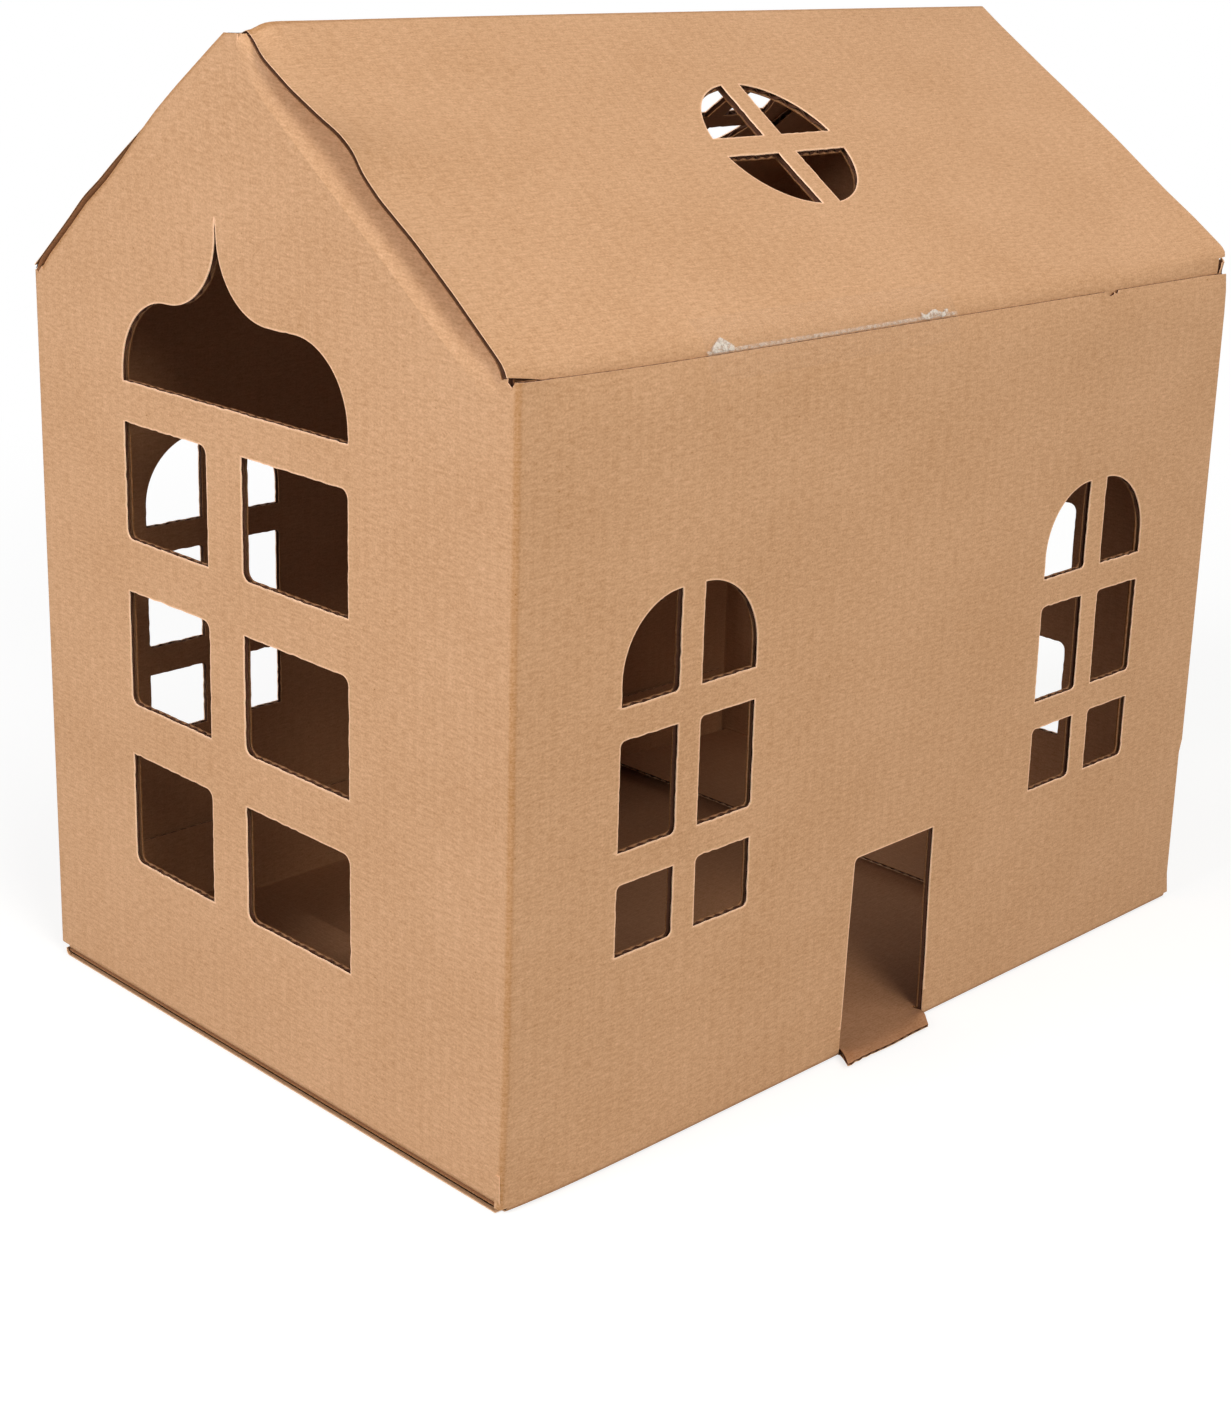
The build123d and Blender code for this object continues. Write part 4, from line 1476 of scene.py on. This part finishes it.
def tape_material():
    """Clear film that turns milky where it is crumpled: near-white patches, partly crumpled film and partly
    painted glints.
    """
    material, nodes = new_material("clear_tape_film")
    crinkle = nodes.noise((90, 300, 1), detail=3)
    bump = nodes.add("ShaderNodeBump", {"Strength": 0.5, "Distance": 0.0006, "Height": crinkle})
    broken = nodes.ramp(nodes.noise((900, 900, 1), detail=2), [(0.0, 0.25), (0.42, 0.35), (0.58, 1.0)])
    # Painted glints: the crumpled places turn near white and opaque
    crumpled = nodes.math("MULTIPLY", nodes.attribute("crease"), broken)
    surface = {
        "Base Color": (*linear(236, 226, 214), 1),
        "Roughness": 0.2,
        "Alpha": nodes.weighted(0.012, (crumpled, 0.85)),
        "Normal": bump.outputs[0],
    }
    shader = nodes.add("ShaderNodeBsdfPrincipled", surface)
    nodes.add("ShaderNodeOutputMaterial", {0: shader.outputs[0]})
    return material


tape_parts().piece("clear_tape", tape_material(), "clear_tape", "eave_tape")


# Floor and light

WHITE = (1, 1, 1, 1)
GREY = (0.4, 0.4, 0.4, 1)
FLOOR_SIZE = 12.0
FLOOR_DROP = -0.0002
FLOOR_GLOW = 0.72
FLOOR_FADE = (0.25, 0.75)
WORLD_LEVEL = 0.24
FILL_TINT = (1.0, 0.97, 0.88)
LAMP_TARGET = Vector((0, 0, 0.13))


def area_lamp(name, place, size, power, colour=WHITE[:3]):
    """Round lamp turned to the middle of the house."""
    lamp = bpy.data.lights.new(name, "AREA")
    lamp.color = colour
    lamp.shape = "DISK"
    lamp.size = size
    lamp.energy = power
    made = new_object(name, lamp)
    made.location = place
    made.rotation_mode = "QUATERNION"
    made.rotation_quaternion = (LAMP_TARGET - Vector(place)).to_track_quat("-Z", "Y")


def seen_directly(nodes):
    """1 for rays from the camera, or from it by a reflection or through glass."""
    path = nodes.add("ShaderNodeLightPath")
    total = path.outputs["Is Camera Ray"]
    for name in ("Is Glossy Ray", "Is Transmission Ray"):
        total = nodes.math("MAXIMUM", total, path.outputs[name])
    return total


def table_material():
    """Matt table that glows a little near the house and is plain white further off."""
    material, nodes = new_material("table_paint")
    seen = seen_directly(nodes)
    matt = nodes.add("ShaderNodeBsdfDiffuse", {0: GREY})
    strength = nodes.math("MULTIPLY", seen, FLOOR_GLOW)
    glow = nodes.add("ShaderNodeEmission", {"Color": WHITE, "Strength": strength})
    plain = nodes.add("ShaderNodeEmission", {"Color": WHITE})
    lit = nodes.add("ShaderNodeAddShader", {0: matt.outputs[0], 1: glow.outputs[0]})
    place = nodes.add("ShaderNodeNewGeometry")
    distance = nodes.add("ShaderNodeVectorMath", {0: place.outputs["Position"]}, operation="LENGTH")
    fade = {"Value": distance.outputs["Value"], "From Min": FLOOR_FADE[0], "From Max": FLOOR_FADE[1]}
    far_off = nodes.add("ShaderNodeMapRange", fade, interpolation_type="SMOOTHSTEP")
    share = nodes.math("MULTIPLY", far_off.outputs[0], seen)
    blend = nodes.add("ShaderNodeMixShader", {0: share, 1: lit.outputs[0], 2: plain.outputs[0]})
    nodes.add("ShaderNodeOutputMaterial", {0: blend.outputs[0]})
    return material


corners = [(x * FLOOR_SIZE, y * FLOOR_SIZE, FLOOR_DROP) for x, y in ((-1, -1), (1, -1), (1, 1), (-1, 1))]
floor_mesh = bpy.data.meshes.new("table")
floor_mesh.from_pydata(corners, [], [(0, 1, 2, 3)])
floor_mesh.materials.append(table_material())
floor_object = new_object("table", floor_mesh)

world = bpy.data.worlds.new("studio")
bpy.context.scene.world = world
world.use_nodes = True
sky = Nodes(world.node_tree)
dim = sky.add("ShaderNodeBackground", {"Color": WHITE, "Strength": WORLD_LEVEL})
bright = sky.add("ShaderNodeBackground", {"Color": WHITE, "Strength": 1.0})
mix = sky.add("ShaderNodeMixShader", {0: seen_directly(sky), 1: dim.outputs[0], 2: bright.outputs[0]})
sky.add("ShaderNodeOutputWorld", {0: mix.outputs[0]})

area_lamp("key", (-0.2, -1.7, 1.0), 0.9, 22)
area_lamp("fill", (1.6, -0.5, 0.9), 0.8, 16, FILL_TINT)
area_lamp("top", (0.9, 0.4, 1.8), 1.2, 7.5)

# Camera at the photograph's viewing angle
PHOTO_WIDTH = 1231
PHOTO_HEIGHT = 1410
CAMERA_PLACE = (444.845, -459.84, 293.05)
AZIMUTH = math.radians(45.312)
ELEVATION = math.radians(15.773)
ROLL = math.radians(1.503)
FOCAL_PIXELS = 2321.99
CENTRE_COLUMN = 600.0
CENTRE_ROW = 560.0

back = Vector(
    (
        math.sin(AZIMUTH) * math.cos(ELEVATION),
        -math.cos(AZIMUTH) * math.cos(ELEVATION),
        math.sin(ELEVATION),
    )
)
level = (-back).cross(Vector((0, 0, 1))).normalized()
upward = level.cross(-back)
right = math.cos(ROLL) * level + math.sin(ROLL) * upward
top = math.cos(ROLL) * upward - math.sin(ROLL) * level
turn = Matrix((right, top, back)).transposed()
camera_data = bpy.data.cameras.new("photo_camera")
camera_data.sensor_width = 36.0
camera_data.lens = FOCAL_PIXELS / PHOTO_HEIGHT * camera_data.sensor_width
camera_data.shift_x = (PHOTO_WIDTH / 2 - CENTRE_COLUMN) / PHOTO_HEIGHT
camera_data.shift_y = (CENTRE_ROW - PHOTO_HEIGHT / 2) / PHOTO_HEIGHT
camera_data.clip_start = 0.01
camera_data.clip_end = 50
camera = new_object("photo_camera", camera_data)
camera.matrix_world = Matrix.Translation(Vector(CAMERA_PLACE) * MM) @ turn.to_4x4()
bpy.context.scene.camera = camera
bpy.context.scene.view_settings.view_transform = "Standard"
